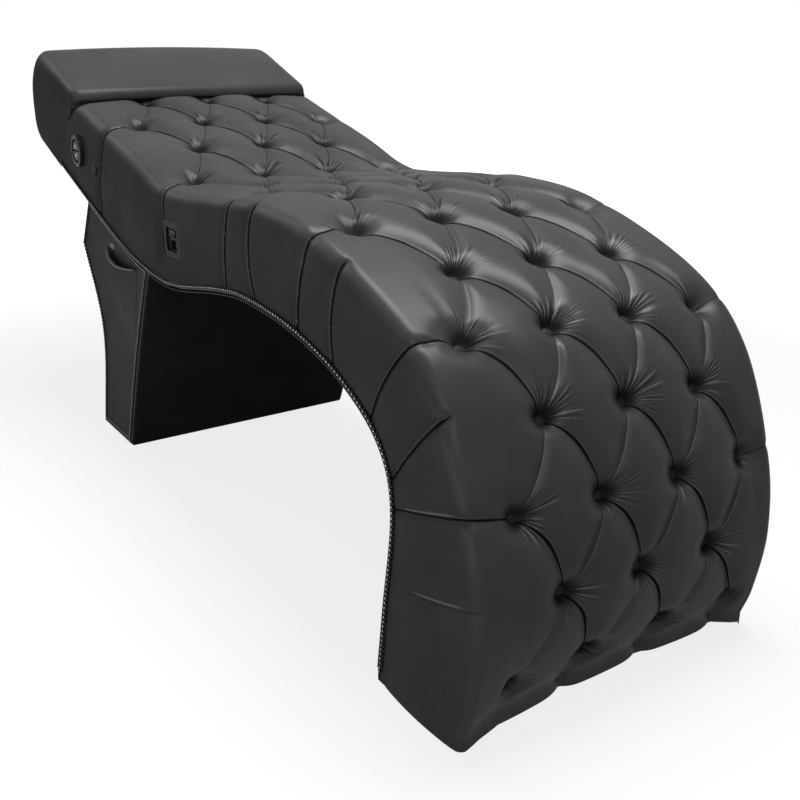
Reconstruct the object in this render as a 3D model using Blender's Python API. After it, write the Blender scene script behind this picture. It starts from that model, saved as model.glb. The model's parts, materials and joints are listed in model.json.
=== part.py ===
"""Curved beauty treatment bed with deep-buttoned upholstery.

A plywood S-shaped body carries a tufted pad and a plain headrest. The foot end
sweeps down to the floor as an arch and the head end stands on a waisted box
pedestal. The control side holds a round two-button control, a power inlet with
a rocker switch and, on the pedestal, an elastic-topped pocket.

Metres, +Z up. +X points to the foot end, -Y is the control side, and the origin
lies on the floor under the middle of the bed.
"""

import math

import bmesh
import bpy
import numpy as np

# Clearances between pieces
CLEAR = 0.0003
SLIDE_CLEAR = 0.0008

# Width of the bed and the build-up of its layers
BED_WIDTH = 0.612
PAD_THICKNESS = 0.064
BAND_THICKNESS = 0.016
BAND_CROWN = 0.005
DECK_THICKNESS = 0.009
LINING_THICKNESS = 0.006
LINING_RECESS = 0.003
SIDE_PLY = 0.018
PAD_CROWN = 0.013
EDGE_RADIUS = 0.034
EDGE_TURNS = (math.radians(38.0), math.radians(66.0))
BAND_SHARES = (0.0, 0.12, 0.42, 0.74, 1.0)
FOOT_EDGE_RADIUS = 0.014
FOOT_BLEND = 0.30

# Crown line of the tufted pad's edges, from the headrest seam down to the foot
SEAM_X, SEAM_Z = -0.608, 0.818
BACK_X, BACK_Z = -0.285, 0.730
WAIST_X, WAIST_Z = -0.093, 0.677
SEAT_X, SEAT_Z = 0.153, 0.689
KNEE_X, KNEE_Z = 0.314, 0.699
CALF_X, CALF_Z = 0.506, 0.680
BEND_X, BEND_Z = 0.734, 0.600
SHIN_X, SHIN_Z = 0.853, 0.499
ANKLE_X, ANKLE_Z = 0.924, 0.335
INSTEP_X, INSTEP_Z = 0.943, 0.200
TOE_X, TOE_Z = 0.928, 0.085
FOOT_FRONT_X = 0.909

# Lower edge of the body, from under the headrest round the arch to the floor
SEAM_LOW_X, SEAM_LOW_Z = -0.761, 0.648
UNDER_PEDESTAL_X, UNDER_PEDESTAL_Z = -0.406, 0.530
UNDER_BACK_X, UNDER_BACK_Z = -0.245, 0.491
UNDER_WAIST_X, UNDER_WAIST_Z = -0.072, 0.478
UNDER_SEAT_X, UNDER_SEAT_Z = 0.154, 0.514
ARCH_TOP_X, ARCH_TOP_Z = 0.278, 0.525
ARCH_FALL_X, ARCH_FALL_Z = 0.446, 0.511
ARCH_BEND_X, ARCH_BEND_Z = 0.599, 0.470
ARCH_CORNER_X, ARCH_CORNER_Z = 0.702, 0.405
ARCH_SIDE_X, ARCH_SIDE_Z = 0.736, 0.312
ARCH_LEG_X, ARCH_LEG_Z = 0.714, 0.142
FOOT_BACK_X = 0.698
SIDE_LEAN_SHARE = 0.09

# Tufting
TUFT_ROWS = 14
FIRST_ROW = 0.048
ROW_PITCH = 0.1482
ROW_EASE, ROW_EASE_SKEW = 0.075, 1.3
COLUMN_PITCH = 0.152
BUTTON_DEPTH = 0.034
BUTTON_SPREAD_SHARE = 0.18
CHANNEL_DEPTH = 0.011
PLEAT_DRAW = 0.006
HEM_RISE = 0.018
HEM_DRAW = 0.014
BEND_ROWS = (7, 12)

# Headrest
HEAD_BACK_X = -0.946
HEAD_LOW_Z = 0.742
HEAD_TILT = math.radians(20.8)
HEAD_RAISE = 0.022
HEAD_OVERHANG = 0.007
HEAD_CROWN = 0.006
HEAD_END_PAD = 0.060
HEAD_EDGE_RADIUS = 0.026
HEAD_EDGE_TURNS = tuple(math.radians(angle) for angle in (0.0, 25.0, 50.0, 72.0, 90.0))
HEAD_FRONT_ROUND = 0.040
HEAD_BACK_ROUND = 0.075
HEAD_LOW_ROUND = 0.025
HEADBOARD_PLY = 0.018

# Cross rails, each at a distance along the crown line from one of its points
RAIL_WIDTH = 0.022
RAIL_DEPTH = 0.045
RAIL_PLACES = {
    "rail_shoulder": (SEAM_X, SEAM_Z, 0.130),
    "rail_back": (BACK_X, BACK_Z, 0.025),
    "rail_waist": (WAIST_X, WAIST_Z, -0.050),
    "rail_knee": (CALF_X, CALF_Z, -0.070),
    "rail_calf": (BEND_X, BEND_Z, -0.050),
    "rail_shin": (SHIN_X, SHIN_Z, 0.085),
    "rail_foot": (INSTEP_X, INSTEP_Z, 0.050),
}

# Foot end and floor glides
GLIDE_HEIGHT = 0.006
GLIDE_RADIUS = 0.014
GLIDE_CHAMFER = 0.0015
GLIDE_INSET = 0.071
GLIDE_STEPS = 20
GLIDE_EDGE = 0.024
FOOT_BOARD = 0.018
COVER_LIFT = 0.003

# Pedestal
PEDESTAL_INSET = 0.008
PEDESTAL_SIDE = 0.016
PEDESTAL_PANEL = 0.012
PEDESTAL_BASE = 0.018
PEDESTAL_TOP = 0.015
PEDESTAL_BACK_FLOOR_X = -0.651
PEDESTAL_BACK_WAIST_X, PEDESTAL_BACK_WAIST_Z = -0.586, 0.270
PEDESTAL_HORN_X, PEDESTAL_HORN_Z = -0.676, 0.474
PEDESTAL_SHOULDER_X = -0.593
PEDESTAL_FRONT_TOP_X = -0.219
PEDESTAL_FRONT_FLOOR_X = -0.453
PEDESTAL_FRONT_BOW = 0.009

# Nail trim
TRIM_EDGE = 0.004
TRIM_WIDTH = 0.009
TRIM_THICKNESS = 0.0015

# Pocket on the control side of the pedestal
POCKET_X = -0.408
POCKET_WIDTH = 0.180
POCKET_LEAN = 0.050
POCKET_BOTTOM_Z = 0.322
POCKET_HEIGHT = 0.160
POCKET_DEPTH = 0.017
POCKET_SAG = 0.012
POCKET_SLANT = 0.018
POCKET_LEATHER = 0.0025
POCKET_HEM = 0.0040
POCKET_COLUMNS, POCKET_LEVELS = 13, 8

# Round two-button control
CONTROL_AFTER_SEAM, CONTROL_BELOW_SEAM = 0.024, 0.115
BEZEL_RADIUS = 0.037
BEZEL_HEIGHT = 0.009
BEZEL_ROUND = 0.004
HOUSING_RADIUS = 0.0265
HOUSING_WALL = 0.0020
HOUSING_DEPTH = 0.062
BUTTON_SPLIT = 0.0020
BUTTON_PROUD = 0.0030
BUTTON_LENGTH = 0.026
BUTTON_ROUND = 0.0015
BUTTON_STEPS = 14
SPRING_RADIUS = 0.0045
SPRING_WIRE = 0.0006
SPRING_TURNS = 6
SPRING_STEPS = 10
SPRING_Z = 0.0120

# Power inlet with rocker switch
INLET_X, INLET_Z = -0.051, 0.578
PLATE_LENGTH, PLATE_HEIGHT = 0.084, 0.074
PLATE_CORNER = 0.014
WINDOW_LENGTH, WINDOW_HEIGHT = 0.056, 0.047
WINDOW_CORNER = 0.008
PLATE_RECESS = 0.001
MODULE_RECESS = 0.004
MODULE_FLANGE = 0.0016
MODULE_DEPTH = 0.048
SOCKET_LENGTH, SOCKET_HEIGHT, SOCKET_DEPTH = 0.028, 0.019, 0.019
SOCKET_Z = -0.0105
SOCKET_FOOT_ROUND, SOCKET_HEAD_ROUND = 0.0015, 0.006
PIN_WIDTH, PIN_HEIGHT, PIN_LENGTH = 0.0020, 0.0045, 0.0115
PIN_SPREAD, EARTH_RISE = 0.0070, 0.0035
WELL_LENGTH, WELL_HEIGHT, WELL_DEPTH = 0.032, 0.0140, 0.011
WELL_Z = 0.0120
WELL_ROUND = 0.001
ROCKER_LENGTH, ROCKER_HEIGHT = 0.0300, 0.0115
ROCKER_PROUD, ROCKER_DIP = 0.0034, 0.0022
ROCKER_HUB = 0.0034
ROCKER_REST = math.radians(8.0)
ROCKER_PIN_RADIUS = 0.0010
ROCKER_STEPS = 12
ROCKER_PIN_SINK = 0.0045

# Massage drive inside the body
BOX_LENGTH, BOX_HEIGHT, BOX_DEPTH = 0.110, 0.044, 0.040
BOX_X, BOX_Z = 0.079, 0.546
BOX_ROUND = 0.004
MOTOR_RADIUS, MOTOR_HEIGHT = 0.028, 0.026
MOTOR_FLANGE, MOTOR_FLANGE_THICKNESS = 0.064, 0.003
MOTOR_STEPS = 24
MOTOR_PLACES = {
    "massage_motor_back": (BACK_X, BACK_Z, -0.095),
    "massage_motor_seat": (SEAT_X, SEAT_Z, 0.080),
}

# Round pieces
ROUND_STEPS = 32

HALF_WIDTH = BED_WIDTH / 2
BAND_INNER = HALF_WIDTH - BAND_THICKNESS
FRAME_OUTER = BAND_INNER - CLEAR
FRAME_INNER = FRAME_OUTER - SIDE_PLY
FRAME_FOOT_Z = GLIDE_HEIGHT + FOOT_BOARD + 2 * CLEAR
PEDESTAL_HALF = HALF_WIDTH - PEDESTAL_INSET
PEDESTAL_INNER = PEDESTAL_HALF - PEDESTAL_SIDE
PEDESTAL_FLOOR_Z = GLIDE_HEIGHT + CLEAR
GLIDE_Y = HALF_WIDTH - GLIDE_INSET
CONTROL_X, CONTROL_Z = SEAM_X + CONTROL_AFTER_SEAM, SEAM_Z - CONTROL_BELOW_SEAM
CONTROL_SIDE = -1


def reset_scene():
    """Empty the scene, so the bed stands alone."""
    for item in list(bpy.data.objects):
        bpy.data.objects.remove(item, do_unlink=True)


def finish(name, colour, roughness, metallic=0.0):
    """A plain Principled material."""
    material = bpy.data.materials.new(name)
    material.use_nodes = True
    shader = material.node_tree.nodes["Principled BSDF"]
    shader.inputs["Base Color"].default_value = (*colour, 1.0)
    shader.inputs["Roughness"].default_value = roughness
    shader.inputs["Metallic"].default_value = metallic
    material.diffuse_color = (*colour, 1.0)
    return material


FINISHES = {
    "tufted_leather": ((0.026, 0.026, 0.028), 0.46, 0.0),
    "plain_leather": ((0.026, 0.026, 0.028), 0.48, 0.0),
    "lining_cloth": ((0.012, 0.012, 0.013), 0.90, 0.0),
    "plywood": ((0.560, 0.410, 0.250), 0.70, 0.0),
    "nail_metal": ((0.150, 0.145, 0.140), 0.35, 1.0),
    "black_plastic": ((0.020, 0.020, 0.021), 0.35, 0.0),
    "gloss_plastic": ((0.012, 0.012, 0.013), 0.12, 0.0),
    "spring_steel": ((0.600, 0.600, 0.600), 0.30, 1.0),
    "brass_pin": ((0.720, 0.560, 0.300), 0.28, 1.0),
    "glide_nylon": ((0.050, 0.050, 0.052), 0.55, 0.0),
}
MATERIALS = {}


def add_mesh(name, mesh_builder, slot, recalc=True):
    """Turn a bmesh into a named object with outward faces."""
    if recalc:
        bmesh.ops.recalc_face_normals(mesh_builder, faces=mesh_builder.faces)
    mesh = bpy.data.meshes.new(name)
    mesh_builder.to_mesh(mesh)
    mesh_builder.free()
    mesh.materials.append(MATERIALS[slot])
    item = bpy.data.objects.new(name, mesh)
    bpy.context.scene.collection.objects.link(item)
    mesh.shade_smooth()
    mesh.set_sharp_from_angle(angle=math.radians(35.0))
    return item


def cut(item, cutter):
    """Take a cutter's shape out of a piece."""
    cutter.hide_render = True
    cutter.display_type = "WIRE"
    boolean = item.modifiers.new("cut_" + cutter.name, "BOOLEAN")
    boolean.operation = "DIFFERENCE"
    boolean.object = cutter
    boolean.solver = "EXACT"


def loft(sections, closed_ends=True):
    """Join equal closed loops of points into one solid."""
    builder = bmesh.new()
    rings = [[builder.verts.new(point) for point in section] for section in sections]
    count = len(rings[0])
    for lower, upper in zip(rings, rings[1:]):
        for index in range(count):
            after = (index + 1) % count
            builder.faces.new((lower[index], lower[after], upper[after], upper[index]))
    if closed_ends:
        builder.faces.new(list(reversed(rings[0])))
        builder.faces.new(rings[-1])
    return builder


def smooth_line(points, count=400):
    """Even arc-length points on a Catmull-Rom curve through the given points."""
    known = np.array(points)
    known = np.vstack([2 * known[0] - known[1], known, 2 * known[-1] - known[-2]])
    curve = []
    for a, b, c, d in zip(known, known[1:], known[2:], known[3:]):
        for step in np.linspace(0.0, 1.0, 24, endpoint=False):
            curve.append(0.5 * (2 * b + (c - a) * step + (2 * a - 5 * b + 4 * c - d) * step ** 2
                                + (3 * b - a - 3 * c + d) * step ** 3))
    curve.append(known[-2])
    curve = np.array(curve)
    run = np.concatenate([[0.0], np.cumsum(np.hypot(*np.diff(curve, axis=0).T))])
    even = np.linspace(0.0, run[-1], count)
    return np.column_stack([np.interp(even, run, curve[:, 0]), np.interp(even, run, curve[:, 1])]), run[-1]


def at(line, share):
    """The point at a share of a line's length."""
    place = min(max(share, 0.0), 1.0) * (len(line) - 1)
    low = min(int(place), len(line) - 2)
    return line[low] + (place - low) * (line[low + 1] - line[low])


# The body's side view: paired points on the crown line and on the lower edge


CROWN_LINE, CROWN_LENGTH = smooth_line([
    (SEAM_X, SEAM_Z), (BACK_X, BACK_Z), (WAIST_X, WAIST_Z), (SEAT_X, SEAT_Z), (KNEE_X, KNEE_Z),
    (CALF_X, CALF_Z), (BEND_X, BEND_Z), (SHIN_X, SHIN_Z), (ANKLE_X, ANKLE_Z),
    (INSTEP_X, INSTEP_Z), (TOE_X, TOE_Z), (FOOT_FRONT_X, FRAME_FOOT_Z)])
LOWER_LINE, _ = smooth_line([
    (SEAM_LOW_X, SEAM_LOW_Z), (UNDER_PEDESTAL_X, UNDER_PEDESTAL_Z), (UNDER_BACK_X, UNDER_BACK_Z),
    (UNDER_WAIST_X, UNDER_WAIST_Z), (UNDER_SEAT_X, UNDER_SEAT_Z), (ARCH_TOP_X, ARCH_TOP_Z),
    (ARCH_FALL_X, ARCH_FALL_Z), (ARCH_BEND_X, ARCH_BEND_Z), (ARCH_CORNER_X, ARCH_CORNER_Z),
    (ARCH_SIDE_X, ARCH_SIDE_Z), (ARCH_LEG_X, ARCH_LEG_Z), (FOOT_BACK_X, FRAME_FOOT_Z)])


class Section:
    """One cross-section of the body: its crown point, lower point and run along the crown."""

    def __init__(self, top, bottom, run):
        self.top = top
        self.bottom = bottom
        self.run = run
        self.depth = float(np.hypot(*(top - bottom)))
        self.up = (top - bottom) / self.depth

    def below_top(self, depth):
        return self.top - depth * self.up

    def above_bottom(self, height):
        return self.bottom + height * self.up


def section_at(run):
    """The body's section at a run along the crown line."""
    share = run / CROWN_LENGTH
    lean = SIDE_LEAN_SHARE * math.sin(math.pi * share)
    return Section(at(CROWN_LINE, share), at(LOWER_LINE, share + lean), run)


def crown_run(x, z, shift):
    """Run along the crown line at a distance from one of its own points."""
    nearest = int(np.argmin(np.hypot(CROWN_LINE[:, 0] - x, CROWN_LINE[:, 1] - z)))
    return CROWN_LENGTH * nearest / (len(CROWN_LINE) - 1) + shift


def row_run(row):
    """Run of a button row: rows stand wider apart before the bend and closer after it."""
    share = min(1.0, max(0.0, row / (TUFT_ROWS - 1)))
    return FIRST_ROW + row * ROW_PITCH + ROW_EASE * math.sin(math.pi * share ** ROW_EASE_SKEW) ** 2


ROW_STEPS = [step / 4 for step in range(-4, 4 * TUFT_ROWS + 1)]
ROW_RUNS = [row_run(row) for row in ROW_STEPS]


def row_of(run):
    """Row number, with its fraction, at a run along the crown line."""
    return float(np.interp(run, ROW_RUNS, ROW_STEPS))


def pad_sections():
    """Half-row sections of the tufted pad, closer together round the bend."""
    runs = [0.0, FIRST_ROW / 2]
    for row in range(TUFT_ROWS):
        steps = (0.0, 0.25, 0.5, 0.75) if BEND_ROWS[0] <= row < BEND_ROWS[1] else (0.0, 0.5)
        runs += [row_run(row + step) for step in steps]
    runs = [run for run in runs if run < CROWN_LENGTH - ROW_PITCH / 6]
    return [section_at(run) for run in runs] + [section_at(CROWN_LENGTH)]


PAD_SECTIONS = pad_sections()


def head_section():
    """The upright end of the body frame inside the headrest."""
    x = HEAD_BACK_X + HEAD_END_PAD
    share = (x - SEAM_LOW_X) / (HEAD_BACK_X - SEAM_LOW_X)
    top = np.array([x, SEAM_Z + (SEAM_X - x) * math.tan(HEAD_TILT)])
    return Section(top, np.array([x, SEAM_LOW_Z + share * (HEAD_LOW_Z - SEAM_LOW_Z)]), 0.0)


HEAD_SECTION = head_section()
SEAM_SECTION = PAD_SECTIONS[0]
FRAME_SECTIONS = [HEAD_SECTION] + PAD_SECTIONS

DECK_TOP = PAD_THICKNESS + CLEAR
DECK_UNDER = DECK_TOP + DECK_THICKNESS
FRAME_TOP = DECK_UNDER + CLEAR
LINING_TOP = LINING_RECESS + LINING_THICKNESS
FRAME_UNDER = LINING_TOP + CLEAR


def ribbon(name, sections, upper, lower, y_low, y_high, slot):
    """A sheet or panel that follows the body between two edges of every section."""
    rings = []
    for section in sections:
        high, low = upper(section), lower(section)
        rings.append([(high[0], y_low, high[1]), (high[0], y_high, high[1]),
                      (low[0], y_high, low[1]), (low[0], y_low, low[1])])
    return add_mesh(name, loft(rings), slot)


def prism(name, outline, y_low, y_high, slot):
    """A flat panel cut to an outline in the side view."""
    near = [(x, y_low, z) for x, z in outline]
    far = [(x, y_high, z) for x, z in outline]
    return add_mesh(name, loft([near, far]), slot)


def filleted(corners, steps=5):
    """An outline with rounded corners, from (x, z, radius) corners."""
    outline = []
    count = len(corners)
    for index, (x, z, radius) in enumerate(corners):
        here = np.array([x, z])
        before = np.array(corners[index - 1][:2]) - here
        after = np.array(corners[(index + 1) % count][:2]) - here
        if radius <= 0.0:
            outline.append((x, z))
            continue
        before /= np.hypot(*before)
        after /= np.hypot(*after)
        half = 0.5 * math.acos(max(-1.0, min(1.0, float(before @ after))))
        reach = radius / math.tan(half)
        centre = here + (before + after) / np.hypot(*(before + after)) * radius / math.sin(half)
        first = here + before * reach - centre
        last = here + after * reach - centre
        turn = math.atan2(first[0] * last[1] - first[1] * last[0], float(first @ last))
        for step in range(steps + 1):
            angle = turn * step / steps
            spin = np.array([[math.cos(angle), -math.sin(angle)], [math.sin(angle), math.cos(angle)]])
            outline.append(tuple(centre + spin @ first))
    return outline


def rounded_rectangle(x, z, length, height, radius, steps=4):
    """A rectangle with round corners in the side view."""
    left, right = x - length / 2, x + length / 2
    low, high = z - height / 2, z + height / 2
    return filleted([(left, low, radius), (right, low, radius), (right, high, radius), (left, high, radius)],
                    steps)


def turned(name, profile, slot, steps=ROUND_STEPS):
    """A solid of revolution about its own Y axis, from closed (radius, y) points."""
    rings = []
    for step in range(steps):
        angle = 2 * math.pi * step / steps
        rings.append([(radius * math.cos(angle), y, radius * math.sin(angle)) for radius, y in profile])
    builder = loft(rings + [rings[0]], closed_ends=False)
    bmesh.ops.remove_doubles(builder, verts=builder.verts, dist=1e-6)
    return add_mesh(name, builder, slot)


def disc(name, radius, y_low, y_high, slot, x=0.0, z=0.0, steps=ROUND_STEPS):
    """A round bar along Y."""
    outline = [(x + radius * math.cos(2 * math.pi * step / steps),
                z + radius * math.sin(2 * math.pi * step / steps)) for step in range(steps)]
    return prism(name, outline, y_low, y_high, slot)


# Upholstery

def sink(run, y):
    """How far the buttoned skin lies below its crown."""
    row = row_of(run)
    column = y / (COLUMN_PITCH / 2)
    outer_column = 3.0
    if abs(column) > outer_column:
        nearest = 2 * round((row - 1) / 2) + 1
        fold = max(0.0, 1.0 - abs(row - nearest)) ** 2
        return CHANNEL_DEPTH * fold
    one, two = (row + column) / 2, (row - column) / 2
    gap_one, gap_two = abs(one - round(one)), abs(two - round(two))
    channel = max(1.0 - 2 * gap_one, 1.0 - 2 * gap_two) ** 3
    reach = math.hypot(gap_one, gap_two)
    button = math.exp(-(reach / BUTTON_SPREAD_SHARE) ** 2)
    inside = 0.0 <= row <= TUFT_ROWS - 1
    fade = 1.0 if inside else max(0.0, 1.0 - 2 * (-row if row < 0 else row - TUFT_ROWS + 1))
    return fade * (CHANNEL_DEPTH * channel * (1 - button) + BUTTON_DEPTH * button)


def band_swell(run, share):
    """Outward swell of the side band: drawn in at the pleats and at both edges."""
    row = row_of(run)
    nearest = 2 * round((row - 1) / 2) + 1
    fold = max(0.0, 1.0 - abs(row - nearest)) ** 2
    swell = BAND_CROWN * math.sin(math.pi * min(1.0, max(0.0, (share - 0.12) / 0.88))) ** 0.7
    return swell - PLEAT_DRAW * fold * max(0.0, share - 0.4)


def pad_loop(section, hem_rise=0.0):
    """Closed loop round the pad's U-shaped cross-section."""
    columns = [COLUMN_PITCH / 4 * step for step in range(-6, 7)]
    foot_share = min(1.0, max(0.0, 1.0 - (CROWN_LENGTH - section.run) / FOOT_BLEND))
    radius = EDGE_RADIUS + foot_share * (FOOT_EDGE_RADIUS - EDGE_RADIUS)
    edge = section.below_top(radius)
    right = []
    for share in BAND_SHARES:
        point = section.bottom + share * (edge - section.bottom)
        right.append((HALF_WIDTH + band_swell(section.run, share), point))
    for angle in EDGE_TURNS:
        point = section.below_top(radius * (1 - math.sin(angle)))
        right.append((HALF_WIDTH - radius * (1 - math.cos(angle)), point))
    rim = HALF_WIDTH - radius
    right.append((rim, section.below_top(sink(section.run, rim))))
    loop = [(-y, point) for y, point in right]
    for y in columns:
        swell = 1 - (y / rim) ** 2
        crown = PAD_CROWN - foot_share * (PAD_CROWN + HEM_DRAW)
        point = section.below_top(sink(section.run, y) - crown * swell)
        loop.append((y, point + np.array([0.0, hem_rise * min(1.0, 2 * swell)])))
    loop += [(y, point) for y, point in reversed(right)]
    deck = section.below_top(PAD_THICKNESS)
    inside = [(BAND_INNER, section.bottom), (BAND_INNER, deck)]
    loop += inside + [(-y, point) for y, point in reversed(inside)]
    return [(point[0], y, point[1]) for y, point in loop]


def foot_hem(section):
    """The pad's last section carried straight down to just above the floor."""
    drop = np.array([0.0, COVER_LIFT - FRAME_FOOT_Z])
    return Section(section.top + drop, section.bottom + drop, section.run)


def make_tufted_pad():
    """Foam and leather over the back, seat, bend and both sides, in one buttoned cover."""
    builder = loft([pad_loop(section) for section in PAD_SECTIONS]
                   + [pad_loop(foot_hem(PAD_SECTIONS[-1]), HEM_RISE)])
    quads = [face for face in builder.faces if len(face.verts) == 4]
    for face in quads:
        a, b, c, d = face.verts
        deeper = (a.co - c.co).length > (b.co - d.co).length
        builder.faces.remove(face)
        pair = ((a, b, d), (b, c, d)) if deeper else ((a, b, c), (a, c, d))
        for corners in pair:
            builder.faces.new(corners)
    pad = add_mesh("tufted_pad", builder, "tufted_leather")
    reach = HALF_WIDTH + 2 * BAND_CROWN
    control_hole = disc("control_hole_pad", HOUSING_RADIUS + SLIDE_CLEAR, -reach, -BAND_INNER + SIDE_PLY / 2,
                        "black_plastic", CONTROL_X, CONTROL_Z)
    inlet_hole = prism("inlet_hole_pad", rounded_rectangle(
        INLET_X, INLET_Z, PLATE_LENGTH + 2 * SLIDE_CLEAR, PLATE_HEIGHT + 2 * SLIDE_CLEAR, PLATE_CORNER),
        -reach, -BAND_INNER + SIDE_PLY / 2, "black_plastic")
    cut(pad, control_hole)
    cut(pad, inlet_hole)


def toward(start, end):
    """Unit direction from one side-view point to another."""
    return (end - start) / np.hypot(*(end - start))


def head_outline(inset):
    """The headrest's side view, with its top and back drawn in by an inset."""
    seam = SEAM_SECTION
    low_front = seam.bottom + CLEAR * toward(seam.bottom, HEAD_SECTION.bottom)
    high_front = seam.top + HEAD_RAISE * seam.up + CLEAR * toward(seam.top, HEAD_SECTION.top)
    low_back = np.array([HEAD_BACK_X, HEAD_LOW_Z])
    high_back = np.array([HEAD_BACK_X, high_front[1] + (high_front[0] - HEAD_BACK_X) * math.tan(HEAD_TILT)])
    corners = ((low_front, 0.0),
               (low_back + inset * toward(low_back, low_front), HEAD_LOW_ROUND),
               (high_back + inset * (toward(high_back, high_front) + toward(high_back, low_back)),
                HEAD_BACK_ROUND),
               (high_front + inset * toward(high_front, low_front), HEAD_FRONT_ROUND))
    return filleted([(*point, radius) for point, radius in corners], 5)


def make_headrest_pad():
    """Plain headrest block, hollowed to fit over the body frame."""
    half_width = HALF_WIDTH + HEAD_OVERHANG
    sides = [(half_width - HEAD_EDGE_RADIUS * (1 - math.cos(turn)), HEAD_EDGE_RADIUS * (1 - math.sin(turn)))
             for turn in HEAD_EDGE_TURNS]
    middle = sides[-1][0]
    half = sides + [(middle * share, 0.0) for share in (0.7, 0.35)]
    across = [(-y, inset) for y, inset in half] + [(0.0, 0.0)] + list(reversed(half))
    sections = []
    for y, inset in across:
        outline = head_outline(inset + HEAD_CROWN * (y / half_width) ** 2)
        sections.append([(x, y, z) for x, z in outline])
    headrest = add_mesh("headrest_pad", loft(sections), "plain_leather")
    step = np.array([CLEAR, 0.0])
    end_high, end_low = HEAD_SECTION.below_top(PAD_THICKNESS) - step, HEAD_SECTION.bottom - step
    seam_high = SEAM_SECTION.below_top(PAD_THICKNESS)
    reach = PAD_THICKNESS * 4
    front = seam_high + reach * toward(end_high, seam_high)
    inner = [end_high, front, front - np.array([0.0, 2 * reach]), end_low - np.array([0.0, reach])]
    outline = [tuple(point) for point in inner]
    cut(headrest, prism("headrest_hollow", outline, -BAND_INNER, BAND_INNER, "plain_leather"))


def trim_ribbon(name, side):
    """Nail trim strip along the lower edge of the body."""
    face = HALF_WIDTH + CLEAR
    y_low, y_high = sorted((side * face, side * (face + TRIM_THICKNESS)))
    return ribbon(name, PAD_SECTIONS, lambda s: s.above_bottom(TRIM_EDGE + TRIM_WIDTH),
                  lambda s: s.above_bottom(TRIM_EDGE), y_low, y_high, "nail_metal")


# Body frame

def make_body_frame():
    """Plywood sides, bent deck, underside lining, headboard and foot board."""
    for name, side in (("side_frame_right", -1), ("side_frame_left", 1)):
        y_low, y_high = sorted((side * FRAME_OUTER, side * FRAME_INNER))
        panel = ribbon(name, FRAME_SECTIONS, lambda s: s.below_top(FRAME_TOP),
                       lambda s: s.above_bottom(FRAME_UNDER), y_low, y_high, "plywood")
        if side == CONTROL_SIDE:
            control_hole = disc("control_hole_frame", HOUSING_RADIUS + SLIDE_CLEAR, y_low - SIDE_PLY,
                                y_high + SIDE_PLY, "plywood", CONTROL_X, CONTROL_Z)
            module_hole = prism("module_hole_frame", rounded_rectangle(
                INLET_X, INLET_Z, module_size()[0] + 2 * SLIDE_CLEAR, module_size()[1] + 2 * SLIDE_CLEAR,
                WINDOW_CORNER), y_low - SIDE_PLY, y_high + SIDE_PLY, "plywood")
            cut(panel, control_hole)
            cut(panel, module_hole)
    ribbon("seat_deck", FRAME_SECTIONS, lambda s: s.below_top(DECK_TOP),
           lambda s: s.below_top(DECK_UNDER), -FRAME_OUTER, FRAME_OUTER, "plywood")
    ribbon("underside_lining", FRAME_SECTIONS, lambda s: s.above_bottom(LINING_TOP),
           lambda s: s.above_bottom(LINING_RECESS), -FRAME_OUTER, FRAME_OUTER, "lining_cloth")
    head_low, head_high = HEAD_SECTION.above_bottom(FRAME_UNDER), HEAD_SECTION.below_top(FRAME_TOP)
    near_low = head_low + HEADBOARD_PLY * toward(head_low, SEAM_SECTION.above_bottom(FRAME_UNDER))
    near_high = head_high + HEADBOARD_PLY * toward(head_high, SEAM_SECTION.below_top(FRAME_TOP))
    prism("headboard", [tuple(corner) for corner in (head_low, near_low, near_high, head_high)],
          -FRAME_INNER + CLEAR, FRAME_INNER - CLEAR, "plywood")
    foot = PAD_SECTIONS[-1]
    back, front = foot.bottom[0] + LINING_RECESS, foot.below_top(DECK_TOP)[0]
    low, high = GLIDE_HEIGHT + CLEAR, GLIDE_HEIGHT + CLEAR + FOOT_BOARD
    prism("foot_board", [(back, low), (front, low), (front, high), (back, high)],
          -FRAME_OUTER, FRAME_OUTER, "plywood")


def deck_seat(run, facets):
    """Middle, direction and upward normal of the free deck facet nearest to a run, which is then taken."""
    first, second = min(facets, key=lambda pair: abs((pair[0].run + pair[1].run) / 2 - run))
    facets.remove((first, second))
    start, end = first.below_top(FRAME_TOP), second.below_top(FRAME_TOP)
    along = (end - start) / np.hypot(*(end - start))
    return (start + end) / 2, along, np.array([-along[1], along[0]])


def make_rails(facets):
    """Cross rails under the deck, square to it."""
    for name, place in RAIL_PLACES.items():
        seat, along, up = deck_seat(crown_run(*place), facets)
        left, right = seat - along * RAIL_WIDTH / 2, seat + along * RAIL_WIDTH / 2
        corners = [left, right, right - up * RAIL_DEPTH, left - up * RAIL_DEPTH]
        half = FRAME_INNER - CLEAR
        prism(name, [tuple(corner) for corner in corners], -half, half, "plywood")


def make_glides():
    """Nylon floor glides under the foot board and the pedestal base."""
    foot = PAD_SECTIONS[-1]
    foot_span = (foot.bottom[0] + LINING_RECESS + GLIDE_EDGE, foot.below_top(DECK_TOP)[0] - GLIDE_EDGE)
    base_span = (PEDESTAL_BACK_FLOOR_X + PEDESTAL_PANEL + GLIDE_EDGE,
                 PEDESTAL_FRONT_FLOOR_X - PEDESTAL_PANEL - GLIDE_EDGE)
    for group, span in (("foot", foot_span), ("pedestal", base_span)):
        for end, x in zip(("back", "front"), span):
            for hand, y in (("right", -GLIDE_Y), ("left", GLIDE_Y)):
                profile = ((GLIDE_RADIUS - GLIDE_CHAMFER, 0.0), (GLIDE_RADIUS, GLIDE_CHAMFER),
                           (GLIDE_RADIUS, GLIDE_HEIGHT))
                turns = [2 * math.pi * step / GLIDE_STEPS for step in range(GLIDE_STEPS)]
                rings = [[(radius * math.cos(turn), radius * math.sin(turn), z) for turn in turns]
                         for radius, z in profile]
                glide = add_mesh(f"glide_{group}_{end}_{hand}", loft(rings), "glide_nylon")
                glide.location = (x, y, 0.0)


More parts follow.
